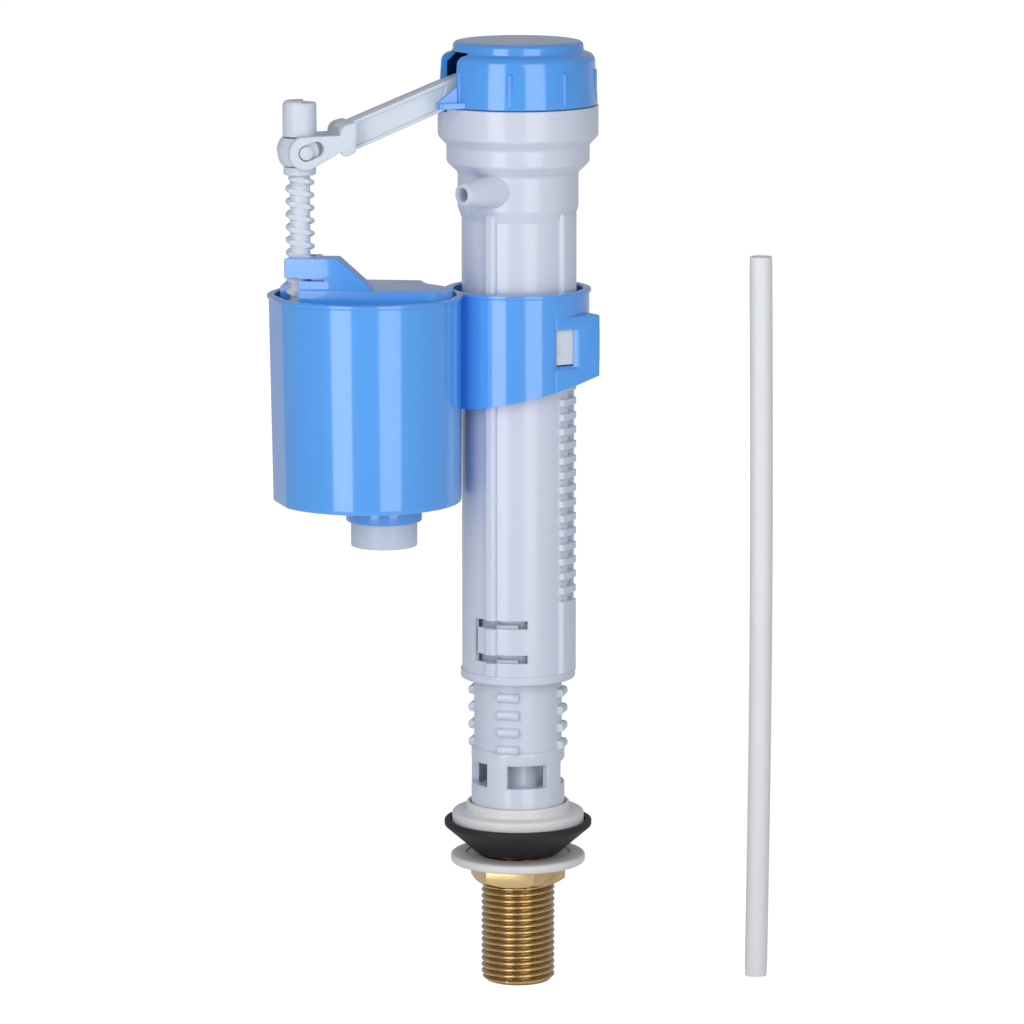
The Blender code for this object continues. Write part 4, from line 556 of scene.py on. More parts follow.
rings = {
    "clampWasher": {"node": "clamp_washer", "body": "washer", "finish": "warm", "steps": 128, "edge": 0.7,
                    "profile": [(19.1, 0.0, 0.9), (19.1, -2.5, 0.9), (10.88, -2.5, 0.3), (10.88, -0.3, 0.1),
                                (14.8, -0.3, 0.05), (14.8, 0.0, 0.05)]},
    "coneSeal": {"node": "cone_seal", "body": "base", "finish": "rubber", "steps": 128, "edge": 0.5,
                 "profile": [(20.9, 9.8, 0.5), (20.9, 8.2, 0.6), (12.2, 0.65, 0.5), (10.78, 0.65, 0.1),
                             (10.78, 8.8, 0.1), (19.1, 8.8, 0.1), (19.1, 9.8, 0.3)]},
    "baseFlange": {"node": "base_flange", "body": "base", "finish": "warm", "steps": 128, "edge": 0.4,
                   "profile": [(14.6, 15.1, 0.5), (14.6, 12.4, 0.5), (18.7, 12.4, 0.9), (18.7, 9.1, 0.2),
                               (12.5, 9.1, 0.1), (12.5, 12.5, 0.1), (13.6, 12.5, 0.1), (13.6, 15.1, 0.4)]},
    "drainCollar": {"node": "drain_collar", "body": "cup", "finish": "blue", "steps": 72, "edge": 0.3,
                    "at": (-39.4, 0.0),
                    "profile": [(10.7, 104.3, 0.2), (10.7, 97.8, 0.5), (9.7, 97.8, 0.2), (9.7, 104.3, 0.1)]},
    "feedTube": {"node": "feed_tube", "body": "riser", "finish": "natural", "steps": 48, "edge": 0.2,
                 "profile": [(9.2, 205.6), (9.2, 59.6), (8.0, 59.6), (8.0, 205.6)]},
}

makeTail()
makeNut()
for name, ring in rings.items():
    profile = rounded(ring["profile"], ring["edge"])
    addPiece(name, latheMesh(profile, ring["steps"], ring.get("at", (0.0, 0.0))), ring["finish"], ring["body"],
             ring["node"], 35)
print("tail, nut, washer, seal and flange made")


# shank: windows, rounded height teeth and the supply pipe inside

shank = {"footRadius": 13.2, "radius": 12.45, "inner": 11.1, "bottom": 12.8, "footTop": 31.2, "top": 125.0,
         "windowLow": 20.8, "windowHigh": 27.4, "windowAngle": 53.0, "windowFirst": 183.5, "windowStep": 81.0,
         "windowCount": 4, "windowEdge": 0.25, "columns": 4, "columnAngle": 239.0, "pitch": 5.0, "teeth": 18,
         "toothWide": 6.4, "toothTall": 2.6, "toothStand": 1.35, "supplyRadius": 6.8, "supplyBore": 4.6,
         "supplyTop": 131.0, "floor": 20.0, "socket": 8.9, "socketTop": 17.4, "spigot": 12.2, "spigotLow": 9.4}


def makeShank():
    s = shank
    windows = [(s["windowFirst"] + k * s["windowStep"]) % 360 for k in range(s["windowCount"])]
    half = s["windowAngle"] / 2
    turn = math.degrees(s["windowEdge"] / s["radius"])

    def outer(angle, z):
        base = s["radius"] + (s["footRadius"] - s["radius"]) * bulge(z, s["footTop"], 0.8)
        if s["windowLow"] <= z <= s["windowHigh"] and any(apart(angle, w) < half + 0.01 for w in windows):
            base -= s["windowEdge"] * 0.6
        return base

    def gone(angle, z):
        return s["windowLow"] < z < s["windowHigh"] and any(apart(angle, w) < half for w in windows)

    extras = [w + side for w in windows for side in (-half - turn, -half, half, half + turn)]
    angles = [a for a in spaced(0, 360, 3.0, [e % 360 for e in extras]) if a < 359.99]
    edge = s["windowEdge"]
    heights = spaced(s["bottom"], s["top"], 8.0, [s["windowLow"] - edge, s["windowLow"], s["windowHigh"],
                                                s["windowHigh"] + edge, s["footTop"] - 0.8, s["footTop"] - 0.5,
                                                s["footTop"] - 0.25, s["footTop"] - 0.08, s["footTop"]])
    piece = raw("shankTube", sleeveMesh(angles, heights, outer, lambda a, z: s["inner"], gone))
    teeth = []
    for column in range(s["columns"]):
        for number in range(s["teeth"]):
            middle = s["footTop"] + 0.8 + number * s["pitch"]
            outline = rounded([(s["radius"] - 0.9, middle - s["toothTall"] / 2),
                               (s["radius"] + s["toothStand"], middle - s["toothTall"] / 2, 1.2),
                               (s["radius"] + s["toothStand"], middle + s["toothTall"] / 2, 1.2),
                               (s["radius"] - 0.9, middle + s["toothTall"] / 2)], 0.55)
            knob = sideways(softPrism(outline, -s["toothWide"] / 2, s["toothWide"] / 2, 0.45))
            teeth.append(turned(knob, s["columnAngle"] + 360 / s["columns"] * column))
    supply = rounded([(s["supplyRadius"], s["supplyTop"], 0.4), (s["supplyRadius"], s["floor"]),
                      (s["inner"] + 0.6, s["floor"]), (s["inner"] + 0.6, s["bottom"] + 0.3),
                      (s["spigot"], s["bottom"] + 0.3), (s["spigot"], s["spigotLow"]),
                      (s["socket"], s["spigotLow"]), (s["socket"], s["socketTop"]),
                      (s["supplyBore"], s["socketTop"]), (s["supplyBore"], s["supplyTop"], 0.3)], 0.15)
    gather(piece, latheMesh(supply, 64), *teeth)
    return dress(piece, "white", "base", "shank_tube", 35)


makeShank()
print("shank made")


# riser: guide pads, toothed rail and locking tongue

riser = {"radius": 15.8, "inner": 14.3, "low": 51.1, "high": 184.4, "rimStand": 0.4, "rimTop": 53.5,
         "padStand": 1.25, "padWidth": 3.2, "pads": (44.0, 134.0, 224.0), "rail": 313.0, "railWidth": 8.0,
         "slotAngle": 320.5, "slotWidth": 4.4, "slotDeep": 1.1, "padTop": 184.2, "padTopRound": 1.2,
         "railStart": 24.2, "railPitch": 4.1, "railSlot": 2.2, "railSlots": 20, "tongueLow": 57.4,
         "tongueHigh": 69.6, "tongueGap": 2.4, "tongueEnd": 1.3, "tongueStart": 202.0, "tongueStop": 262.0,
         "edge": 0.2, "padStart": 53.5}


def makeRiser():
    r = riser
    endTurn = math.degrees(r["tongueEnd"] / r["radius"])
    slotLow = [r["low"] + r["railStart"] - r["railSlot"] / 2 + k * r["railPitch"] for k in range(r["railSlots"])]

    def outer(angle, z):
        base = r["radius"]
        if z < r["rimTop"] + 0.01:
            base += r["rimStand"] * bulge(r["rimTop"] - z, r["rimTop"] - r["low"] + 0.4, 0.5)
            base -= 0.35 * (1 - bulge(r["low"] + 0.6 - z, 0.6, 0.6)) if z < r["low"] + 0.6 else 0.0
        if z < r["padStart"] - 0.01:
            return base
        share = 0.0
        for pad in r["pads"]:
            away = math.radians(apart(angle, pad)) * r["radius"]
            share = max(share, bulge(away, r["padWidth"] / 2 + 0.12, 0.7))
        away = math.radians(apart(angle, r["rail"])) * r["radius"]
        onRail = bulge(away, r["railWidth"] / 2 + 0.12, 0.9)
        inSlot = any(low < z < low + r["railSlot"] for low in slotLow)
        if inSlot:
            onRail *= 0.1
            away = math.radians(apart(angle, r["slotAngle"])) * r["radius"]
            base -= r["slotDeep"] * bulge(away, r["slotWidth"] / 2, 0.3)
        share = max(share, onRail)
        share *= bulge(z, r["padTop"], r["padTopRound"])
        stand = r["padStand"] * min(share, (z - r["padStart"] + 0.15) / 0.5)
        return base + stand if inSlot else max(base, r["radius"] + stand)

    def gone(angle, z):
        if not (r["tongueLow"] < z < r["tongueHigh"] and r["tongueStart"] < angle < r["tongueStop"]):
            return False
        bars = z < r["tongueLow"] + r["tongueGap"] or z > r["tongueHigh"] - r["tongueGap"]
        return bars or angle < r["tongueStart"] + endTurn

    extras = [r["tongueStart"], r["tongueStart"] + endTurn, r["tongueStop"]]
    ridges = [(p, r["padWidth"], 0.7) for p in r["pads"]] + [(r["rail"], r["railWidth"], 0.9)]
    for middle, wide, edge in ridges + [(r["slotAngle"], r["slotWidth"] - 0.24, 0.3)]:
        for share in (0.0, 0.04, 0.15, 0.35, 0.65, 1.0):
            turn = math.degrees((wide / 2 + 0.12 - edge * share) / r["radius"])
            extras += [middle - turn, middle + turn]
    angles = [a for a in spaced(0, 360, 3.0, extras) if a < 359.99]
    rows = [r["low"] + 0.1, r["low"] + 0.3, r["low"] + 0.6, r["rimTop"] - 0.4, r["rimTop"] - 0.2, r["rimTop"],
            r["padStart"] + 0.1, r["padStart"] + 0.35, r["tongueLow"], r["tongueLow"] + r["tongueGap"],
            r["tongueHigh"] - r["tongueGap"], r["tongueHigh"]]
    rows += [r["padTop"] - r["padTopRound"] * part for part in (0.0, 0.05, 0.2, 0.45, 0.7, 1.0)]
    for low in slotLow:
        rows += [low - 0.02, low + 0.12, low + r["railSlot"] - 0.12, low + r["railSlot"] + 0.02]
    heights = spaced(r["low"], r["high"], 6.0, rows)
    mesh = sleeveMesh(angles, heights, outer, lambda a, z: r["inner"], gone)
    return addPiece("riserTube", mesh, "white", "riser", "riser_tube", 35)


makeRiser()
print("riser made")


# valve head with its refill nozzle

head = {"bottom": 181.2, "top": 213.2, "foot": (16.25, 0.0), "nozzleAngle": 206.0, "nozzleTip": (-21.5, -16.7),
        "nozzleHeight": 9.2, "nozzleLength": 13.5, "tipRadius": 3.2, "rootRadius": 4.9, "nozzleBore": 1.95}


def makeHead():
    h = head
    low = h["bottom"]
    profile = rounded([
        (19.5, h["top"] + 3.8, 0.2), (19.5, h["top"], 0.05), (22.45, h["top"], 0.25), (22.45, low + 23.5, 1.6),
        (20.0, low + 20.9, 1.6), (20.0, low + 16.2, 1.5), (16.9, low + 13.2, 1.4), (16.9, low + 3.6, 1.2),
        (15.7, low + 0.1, 0.3), (14.2, low, 0.05), (14.2, low - 9.0, 0.1), (12.6, low - 9.0, 0.1),
        (12.6, low + 2.3, 0.1),
        (9.5, low + 2.3, 0.05), (9.5, low + 4.3, 0.05), (15.0, low + 4.3, 0.1), (15.0, low + 13.3, 0.1),
        (18.0, low + 16.7, 0.1), (18.0, h["top"] - 10.0, 0.05), (16.2, h["top"] - 10.0, 0.05),
        (16.2, h["top"] - 7.5, 0.05), (18.0, h["top"] - 7.5, 0.05), (18.0, h["top"] + 3.8, 0.1)], 0.1)
    piece = raw("valveHead", latheMesh(profile, 128))
    turn = math.radians(h["nozzleAngle"])
    out = Vector((math.cos(turn), math.sin(turn), 0))
    tip = Vector((*h["nozzleTip"], low + h["nozzleHeight"]))
    carve(piece, nozzleBody(out, tip), "UNION")
    carve(piece, between(tip - out * (h["nozzleLength"] + 3), tip + out * 2, h["nozzleBore"], steps=32))
    notch = 4.0
    carve(piece, softBox((-24, -notch, h["top"] - 1.2), (-16, notch, h["top"] + 6), 0.05, 0.15))
    return dress(piece, "white", "riser", "valve_head", 35)


def nozzleBody(out, tip):
    # a straight taper that starts inside the neck
    h = head
    length = h["nozzleLength"]
    mouth = h["tipRadius"]
    profile = [(0.0, 0.0), (h["rootRadius"], 0.0), (mouth + 0.02, length - 0.4), (mouth - 0.08, length - 0.15),
               (mouth - 0.3, length), (0.0, length)]
    bm = latheMesh(profile, 64, closed=False)
    bm.transform(Matrix.Translation(tip - out * length) @ out.to_track_quat("Z", "Y").to_matrix().to_4x4())
    return bm


makeHead()
print("head made")


# cap

cap = {"bottom": 213.5, "radius": 22.25, "draft": 0.75, "rimHeight": 1.7, "sideTop": 225.4, "shoulder": 2.4,
       "discRadius": 18.2, "top": 231.2, "bore": 19.9, "ribs": 8, "ribFirst": 204.0, "ribStep": 42.0,
       "ribLow": 214.4, "ribHigh": 223.6, "ribWide": 1.1, "slotFar": 4.0, "slotNear": 7.4, "footReach": 26.6,
       "footWide": 3.9, "gussetHeight": 5.6, "gussetThick": 1.2}


def makeCap():
    c = cap
    upper = c["radius"] - c["draft"]
    profile = [(0.0, c["top"]), (c["discRadius"] - 4.5, c["top"] - 0.03), (c["discRadius"] - 1.6, c["top"] - 0.14),
               (c["discRadius"] - 0.7, c["top"] - 0.34), (c["discRadius"] - 0.15, c["top"] - 0.8),
               (c["discRadius"], c["top"] - 1.3), (c["discRadius"] + 0.05, c["top"] - 2.3),
               (c["discRadius"] + 0.25, c["top"] - 2.9), (c["discRadius"] + 0.75, c["top"] - 3.25)]
    profile += arc((upper - c["shoulder"], c["sideTop"]), c["shoulder"], 85, 0, 10)
    profile += [(upper + 0.03, c["sideTop"] - 0.6), (c["radius"] - 0.03, c["bottom"] + 0.7),
                (c["radius"], c["bottom"] + 0.2), (c["radius"] - 0.15, c["bottom"]), (c["bore"], c["bottom"]),
                (c["bore"], c["sideTop"]), (c["bore"] - 3, c["top"] - 3), (0.0, c["top"] - 3)]
    piece = raw("topCap", latheMesh(profile, 128, closed=False))
    near = -c["slotNear"]
    side = near - c["footWide"]
    foot = softPrism(rounded([(-c["footReach"], side, 1.5), (-17.9, side), (-17.9, near + c["gussetThick"]),
                              (-c["footReach"], near + c["gussetThick"], 0.5)], 0.3),
                     c["bottom"], c["bottom"] + c["rimHeight"], 0.2)
    start = -c["footReach"] + 0.4
    fin = rounded([(start, c["bottom"] + 0.5), (-19.4, c["bottom"] + 0.5), (-19.4, c["bottom"] + c["gussetHeight"]),
                   (-c["radius"] + 1.2, c["bottom"] + c["gussetHeight"], 0.4),
                   (start, c["bottom"] + c["rimHeight"], 0.3)], 0.3)
    gusset = sideways(softPrism(fin, -near - c["gussetThick"], -near + c["gussetThick"], 0.2))
    carve(piece, foot, "UNION")
    carve(piece, gusset, "UNION")
    opening = softPrism(boxOutline((-c["footReach"] - 2, near), (-10.0, c["slotFar"]), 0.4),
                        c["bottom"] - 1, c["sideTop"] + c["shoulder"] + 0.7, 0.3)
    carve(piece, opening)
    ribs = []
    for index in range(c["ribs"]):
        outline = rounded([(c["radius"] - 1.5, c["ribLow"]), (c["radius"] + 0.08, c["ribLow"]),
                           (c["radius"] + 0.08, c["ribHigh"], 0.6), (c["radius"] - 1.5, c["ribHigh"])], 0.35)
        rib = sideways(softPrism(outline, -c["ribWide"] / 2, c["ribWide"] / 2, 0.3))
        ribs.append(turned(rib, c["ribFirst"] + c["ribStep"] * index))
    gather(piece, *ribs)
    return dress(piece, "blue", "riser", "top_cap", 35)


makeCap()
print("cap made")


# lever

lever = {"pivot": (-14.0, 0.0, 220.0), "slope": 19.85, "length": 52.414, "forkLength": 14.5, "forkRoot": 2.5,
         "forkTaper": 5.0, "forkRadius": 4.75, "above": 3.3, "below": 4.3, "aboveFork": 2.9, "belowFork": 5.0,
         "wide": 6.4, "web": 4.8, "flange": 0.9, "prongIn": 5.1, "prongOut": 6.8, "slotRadius": 2.25, "slotRun": 3.05,
         "innerReach": 8.6, "innerHalf": 1.9, "edge": 0.3}


def makeLever():
    v = lever
    pin = -v["length"]
    root = pin + v["forkLength"]
    thin = root + v["forkTaper"]
    deep = -8.0
    half = v["wide"] / 2
    outline = rounded([(root - v["forkRoot"], -v["belowFork"]), (thin, -v["belowFork"] + 0.1, 3.0),
                       (deep - 2, -v["below"], 2.0), (deep + 3, -v["above"], 2.0), (2.2, -3.0, 1.0),
                       (4.1, -v["innerHalf"], 1.0), (v["innerReach"], -v["innerHalf"], 0.6),
                       (v["innerReach"], v["innerHalf"], 0.6), (3.0, 3.0, 1.5), (deep, v["above"], 2.0),
                       (thin, v["aboveFork"], 4.0), (root - v["forkRoot"], v["aboveFork"] - 0.2)], 0.4)
    piece = raw("leverArm", sideways(softPrism(outline, -half, half, v["edge"])))
    fork = arc((pin, 0), v["forkRadius"], 90, 270, 24)
    fork += rounded([(root - 5.5, -v["forkRadius"] - 0.6, 2.5), (root - 1.2, -v["belowFork"], 0.7),
                     (root + 2.2, v["aboveFork"] - 0.1, 0.7), (root - 3.0, v["aboveFork"] + 0.6, 3.0)], 0.55)
    carve(piece, sideways(softPrism(fork, -v["prongOut"], v["prongOut"], 0.45)), "UNION")
    gap = softPrism(boxOutline((pin - 9, -v["prongIn"]), (root - v["forkRoot"], v["prongIn"]), 2.5), -8, 8, 0.1)
    carve(piece, gap)
    slot = arc((pin, 0), v["slotRadius"], 90, 270, 14) + arc((pin + v["slotRun"], 0), v["slotRadius"], -90, 90, 14)
    carve(piece, sideways(softPrism(slot, -9, 9, 0.05)))
    rim = v["flange"]
    pocket = rounded([(root - 0.5, -v["belowFork"] + rim), (thin, -v["belowFork"] + rim),
                      (deep - 2.5, -v["below"] + rim), (deep + 1, v["above"] - rim),
                      (thin, v["aboveFork"] - rim), (root + 3.0, v["aboveFork"] - rim)], 0.5)
    web = v["web"] / 2
    carve(piece, sideways(softPrism(pocket, -v["wide"], -web, 0.4)))
    carve(piece, sideways(softPrism(pocket, web, v["wide"], 0.4)))
    carve(piece, between((0, -9, 0), (0, 9, 0), 1.5, steps=32))
    place = Matrix.Translation(Vector(v["pivot"]) * mm) @ Matrix.Rotation(math.radians(-v["slope"]), 4, "Y")
    piece.data.transform(place)
    return dress(piece, "natural", "lever", "lever_arm", 35)


makeLever()
print("lever made")


# trunnion and adjusting rod

spindle = {"x": -63.3, "pinZ": 202.202, "ballRadius": 6.2, "ballHalf": 3.8, "ballWide": 4.7, "pinRadius": 1.9,
           "pinReach": 6.8, "neck": 2.6, "core": 2.8, "crest": 4.05, "pitch": 3.55, "knobRadius": 4.7,
           "knobHeight": 9.9, "collarRadius": 4.5, "collarHeight": 2.3, "below": 64.0, "gap": 0.4,
           "flat": 2.95, "flatAngle": 252.0}


def makeTrunnion():
    p = spindle
    limit = math.degrees(math.asin(p["ballHalf"] / p["ballRadius"]))
    ball = arc((0, p["pinZ"]), p["ballRadius"], limit, -limit, 14)
    profile = [(0.0, p["pinZ"] + p["ballHalf"])] + ball + [(0.0, p["pinZ"] - p["ballHalf"])]
    piece = raw("trunnion", latheMesh(profile, 64, (p["x"], 0), closed=False))
    wide, tall = p["ballRadius"] + 1, p["ballHalf"] + 1
    carve(piece, softBox((p["x"] - wide, -p["ballWide"], p["pinZ"] - tall),
                         (p["x"] + wide, p["ballWide"], p["pinZ"] + tall), 0.05, 0.15), "INTERSECT")
    carve(piece, between((p["x"], -p["pinReach"], p["pinZ"]), (p["x"], p["pinReach"], p["pinZ"]), p["pinRadius"],
                         steps=40, edge=0.3), "UNION")
    carve(piece, between((p["x"], 0, p["pinZ"] - tall), (p["x"], 0, p["pinZ"] + tall), p["neck"] + 0.3, steps=40))
    return dress(piece, "natural", "trunnion", "trunnion", 35)


def makeRod():
    p = spindle
    knobLow = p["pinZ"] + p["ballHalf"] + p["gap"]
    top = knobLow + p["knobHeight"]
    collarTop = p["pinZ"] - p["ballHalf"] - p["gap"]
    collarLow = collarTop - p["collarHeight"]
    bottom = collarLow - p["below"]
    knob = rounded([(0.0, top), (p["knobRadius"], top, 1.3), (p["knobRadius"], knobLow, 0.3),
                    (p["neck"], knobLow, 0.1), (p["neck"], collarTop, 0.1), (p["collarRadius"], collarTop, 0.3),
                    (p["collarRadius"], collarLow, 0.5), (p["core"], collarLow, 0.2), (p["core"], collarLow - 3.0),
                    (0.0, collarLow - 3.0)], 0.1, closed=False)
    piece = raw("adjusterRod", latheMesh(knob, 64, (p["x"], 0), closed=False))
    step = softBox((0.9, -7, top - 0.6), (7, 7, top + 2), 0.1, 0.15)
    turned(step, p["flatAngle"] + 90)
    step.transform(Matrix.Translation((p["x"], 0, 0)))
    carve(piece, step)

    def radius(angle, z):
        share = (z / p["pitch"] + angle / 360) % 1
        away = abs(share - 0.5) * p["pitch"]
        ends = min(1.0, max(0.0, (z - bottom) / 2.0), max(0.0, (collarLow - 0.2 - z) / 1.2))
        tip = min(1.0, 0.7 + (z - bottom) * 0.3)
        full = p["core"] * tip + (p["crest"] - p["core"]) * bulge(away, 0.86, 0.8) * ends
        return min(full, p["flat"] / max(0.3, abs(math.cos(math.radians(angle - p["flatAngle"])))))

    steps = 72
    thread = sleeveMesh([360 * s / steps for s in range(steps)], spaced(bottom, collarLow - 0.1, 0.22), radius)
    thread.transform(Matrix.Translation((p["x"], 0, 0)))
    gather(piece, thread)
    return dress(piece, "natural", "spindle", "adjuster_rod", 40)


makeTrunnion()
makeRod()
print("rod made")


# float cup with the band round the riser

cup = {"x": -44.6, "radius": 26.85, "facet": 26.0, "low": 103.6, "floor": 106.1, "rim": 161.9, "draft": 0.6,
       "shift": 0.4, "wall": 1.5, "drainRecess": 9.7, "drainCeiling": 104.6,
       "lipStand": 0.5, "lipHeight": 1.2, "bandRadius": 20.0, "bandLow": 129.0, "bandMiddle": 7.0, "bandEnd": 11.5,
       "bandMiddleX": 11.3, "bore": 18.15, "drainX": -39.4, "drainHole": 3.2, "latchAngle": 284.0,
       "latchFace": 20.08, "latchDepth": 6.6, "latchLeft": -0.4, "latchRight": 14.5, "latchTop": 155.4,
       "clipMiddle": 146.9, "clipHalf": 5.4, "clipOut": 19.3, "clipIn": 17.4, "recessLeft": -1.7,
       "recessRight": 9.0, "recessDrop": 0.5, "windowLeft": 1.3, "windowRight": 5.0}


def cupOutline(inset, count=72, shift=0.0):
    radius = cup["radius"] - inset
    half = math.degrees(math.acos((cup["facet"] - inset) / radius))
    ends = arc((cup["x"] + shift, 0), radius, 180 + half, 540 - half, count)
    return rounded([(*ends[0], 0.8)] + ends[1:-1] + [(*ends[-1], 0.8)], 0.0)


def bodyOutline(inset):
    radius, band = cup["radius"] - inset, cup["bandRadius"] - inset
    along = (cup["x"] ** 2 + radius ** 2 - band ** 2) / (-2 * cup["x"])
    across = math.sqrt(radius ** 2 - along ** 2)
    cupSide = math.degrees(math.atan2(across, along))
    bandSide = 180 - math.degrees(math.atan2(across, -cup["x"] - along))
    half = math.degrees(math.acos((cup["facet"] - inset) / radius))
    lower = arc((cup["x"], 0), radius, 180 + half, 360 - cupSide, 36)
    nose = arc((0, 0), band, -bandSide, bandSide, 64)
    upper = arc((cup["x"], 0), radius, cupSide, 180 - half, 36)
    return lower + nose[1:-1] + upper


def latchFrame(bm):
    return turned(bm, cup["latchAngle"])


def makeCup():
    c = cup
    top = c["rim"] - c["lipHeight"] / 2
    shell = []
    for height, round in ((0.0, 0.6), (0.2, 0.18), (0.7, 0.0), (1.4, 0.0), (top - c["low"] - 1.5, 0.0),
                          (top - c["low"], 0.0)):
        share = 1 - height / (top - c["low"])
        shell.append((cupOutline(c["draft"] * share + round, shift=c["shift"] * share), c["low"] + height))
    piece = raw("floatCup", loftMesh(shell))
    edge = c["bandRadius"] + 6
    band = raw("band", between((0, 0, c["bandLow"] - 1), (0, 0, top - 0.1), c["bandRadius"], steps=128))
    block = softPrism(boxOutline((c["latchFace"] - c["latchDepth"], c["latchLeft"]),
                                 (c["latchFace"], c["latchRight"]), 0.6), c["bandLow"] - 2, c["latchTop"], 0.5)
    carve(band, latchFrame(block), "UNION")
    below = [(-edge, c["bandLow"] - 5), (edge, c["bandLow"] - 5), (edge, c["bandLow"] + c["bandEnd"]),
             (c["bandMiddleX"], c["bandLow"] + c["bandMiddle"]), (-c["bandRadius"], c["bandLow"]),
             (-edge, c["bandLow"])]
    carve(band, sideways(softPrism(below, -edge, edge, 0.01)))
    union(piece, band)
    rimLow = c["rim"] - c["lipHeight"]
    lip = [(bodyOutline(-c["lipStand"] + 0.45), rimLow), (bodyOutline(-c["lipStand"] + 0.1), rimLow + 0.12),
           (bodyOutline(-c["lipStand"]), rimLow + 0.4), (bodyOutline(-c["lipStand"]), c["rim"] - 0.4),
           (bodyOutline(-c["lipStand"] + 0.1), c["rim"] - 0.12), (bodyOutline(-c["lipStand"] + 0.45), c["rim"])]
    carve(piece, loftMesh(lip), "UNION")
    floor = c["floor"]
    carve(piece, loftMesh([(cupOutline(c["wall"] + c["draft"] + 0.6), floor),
                           (cupOutline(c["wall"] + c["draft"]), floor + 0.7),
                           (cupOutline(c["wall"]), c["rim"] - 0.3), (cupOutline(c["wall"] - 0.3), c["rim"]),
                           (cupOutline(c["wall"] - 0.3), c["rim"] + 1)]))
    bore = [(0.0, c["low"]), (c["bore"], c["low"]), (c["bore"], c["rim"] - 0.3), (c["bore"] + 0.3, c["rim"]),
            (c["bore"] + 0.3, c["rim"] + 1), (0.0, c["rim"] + 1)]
    carve(piece, latheMesh(bore, 128, closed=False))
    # the drain hole, and the room above the drain float where it lifts
    drainWay = [(0.0, c["low"] - 1), (c["drainRecess"], c["low"] - 1), (c["drainRecess"], c["drainCeiling"]),
                (c["drainHole"], c["drainCeiling"]), (c["drainHole"], floor + 1), (0.0, floor + 1)]
    carve(piece, latheMesh(drainWay, 64, (c["drainX"], 0), closed=False))
    low, high = c["clipMiddle"] - c["clipHalf"], c["clipMiddle"] + c["clipHalf"]
    carve(piece, latchFrame(softBox((c["clipIn"], -2.9, low), (c["clipOut"], c["latchRight"] + 2, high), 0.1, 0.2)))
    carve(piece, latchFrame(recessMesh(low - c["recessDrop"], high - c["recessDrop"])))
    return dress(piece, "blue", "cup", "float_cup", 28)


def recessMesh(low, high):
    # the finger recess: a bevelled frame that narrows onto the clip's window
    c = cup
    outer, inner = c["latchFace"] + 0.3, c["clipOut"] - 0.4
    wide = [(c["recessLeft"], low - 0.6), (c["recessRight"], low - 0.6), (c["recessRight"], high + 0.4),
            (c["recessLeft"], high + 0.4)]
    tight = [(c["windowLeft"], low + 0.2), (c["windowRight"], low + 0.2), (c["windowRight"], high - 0.2),
             (c["windowLeft"], high - 0.2)]
    bm = loftMesh([(rounded(tight, 0.3), inner), (rounded(wide, 0.5), outer)])
    # drawn as (along, up) and extruded outwards, then turned so that outwards is X and up is Z
    bm.transform(Matrix(((0, 0, 1, 0), (1, 0, 0, 0), (0, 1, 0, 0), (0, 0, 0, 1))))
    return bm


def union(piece, other, operation="UNION"):
    change = piece.modifiers.new("join", "BOOLEAN")
    change.operation = operation
    change.solver = "EXACT"
    change.object = other
    settle(piece)
    bpy.data.objects.remove(other, do_unlink=True)


clip = {"in": 17.7, "out": 19.0, "left": -1.0, "right": 15.2, "tall": 10.0, "toothRight": 3.83, "toothWide": 1.9,
        "toothReach": 1.0}


def makeClip():
    k = clip
    low = cup["clipMiddle"] - k["tall"] / 2
    piece = raw("lockClip", latchFrame(softBox((k["in"], k["left"], low), (k["out"], k["right"], low + k["tall"]),
                                               0.25, 0.4)))
    middle = cup["clipMiddle"]
    gather(piece, latchFrame(softBox((k["in"] - k["toothReach"], k["toothRight"] - k["toothWide"], middle - 1),
                                     (k["in"] + 0.4, k["toothRight"], middle + 1), 0.2, 0.3)))
    gather(piece, latchFrame(softBox((k["out"] - 0.4, 1.0, middle - 2.6), (k["out"] + 0.25, 1.8, middle + 0.6),
                                     0.2, 0.3)))
    return dress(piece, "natural", "clip", "cup_lock_clip", 35)


makeCup()
makeClip()
print("cup made")


# drain float

drain = {"x": -39.4, "radius": 9.3, "low": 90.7, "high": 100.8, "wall": 1.2, "stem": 1.8, "headRadius": 4.4,
         "headLow": 106.4, "headHigh": 107.6}


def makeDrainFloat():
    d = drain
    profile = rounded([(0.0, d["headHigh"]), (d["headRadius"], d["headHigh"], 0.4),
                       (d["headRadius"], d["headLow"], 0.2),
                       (d["stem"], d["headLow"], 0.1), (d["stem"], d["high"], 0.4), (d["radius"], d["high"], 0.8),
                       (d["radius"], d["low"], 0.5), (d["radius"] - d["wall"], d["low"], 0.3),
                       (d["radius"] - d["wall"], d["high"] - d["wall"], 0.6), (0.0, d["high"] - d["wall"])],
                      0.1, closed=False)
    mesh = latheMesh(profile, 72, (d["x"], 0), closed=False)
    return addPiece("drainFloat", mesh, "milky", "poppet", "drain_float", 35)


makeDrainFloat()


# float with its deck and tower

floatLook = {"gap": 2.8, "top": 160.4, "low": 119.9, "wall": 1.5, "deckTop": 164.3, "turn": -24.0, "front": 5.6,
             "deep": 25.3, "inset": -1.1, "backEnd": 6.3, "riserClear": 27.4, "towerTop": 173.1, "towerHalf": 5.3,
             "bridge": 5.5, "towerLeft": 3.9, "towerRightTop": 10.9, "towerRightFoot": 20.2, "recess": 8.7,
             "recessDeep": 0.5, "slit": 0.7, "channel": 4.35, "stop": -56.8, "wingBack": -1.8, "wingFrom": 5.5}


def onDeck(along, front):
    turn = math.radians(floatLook["turn"])
    return (spindle["x"] + along * math.cos(turn) + front * math.sin(turn),
            along * math.sin(turn) - front * math.cos(turn))


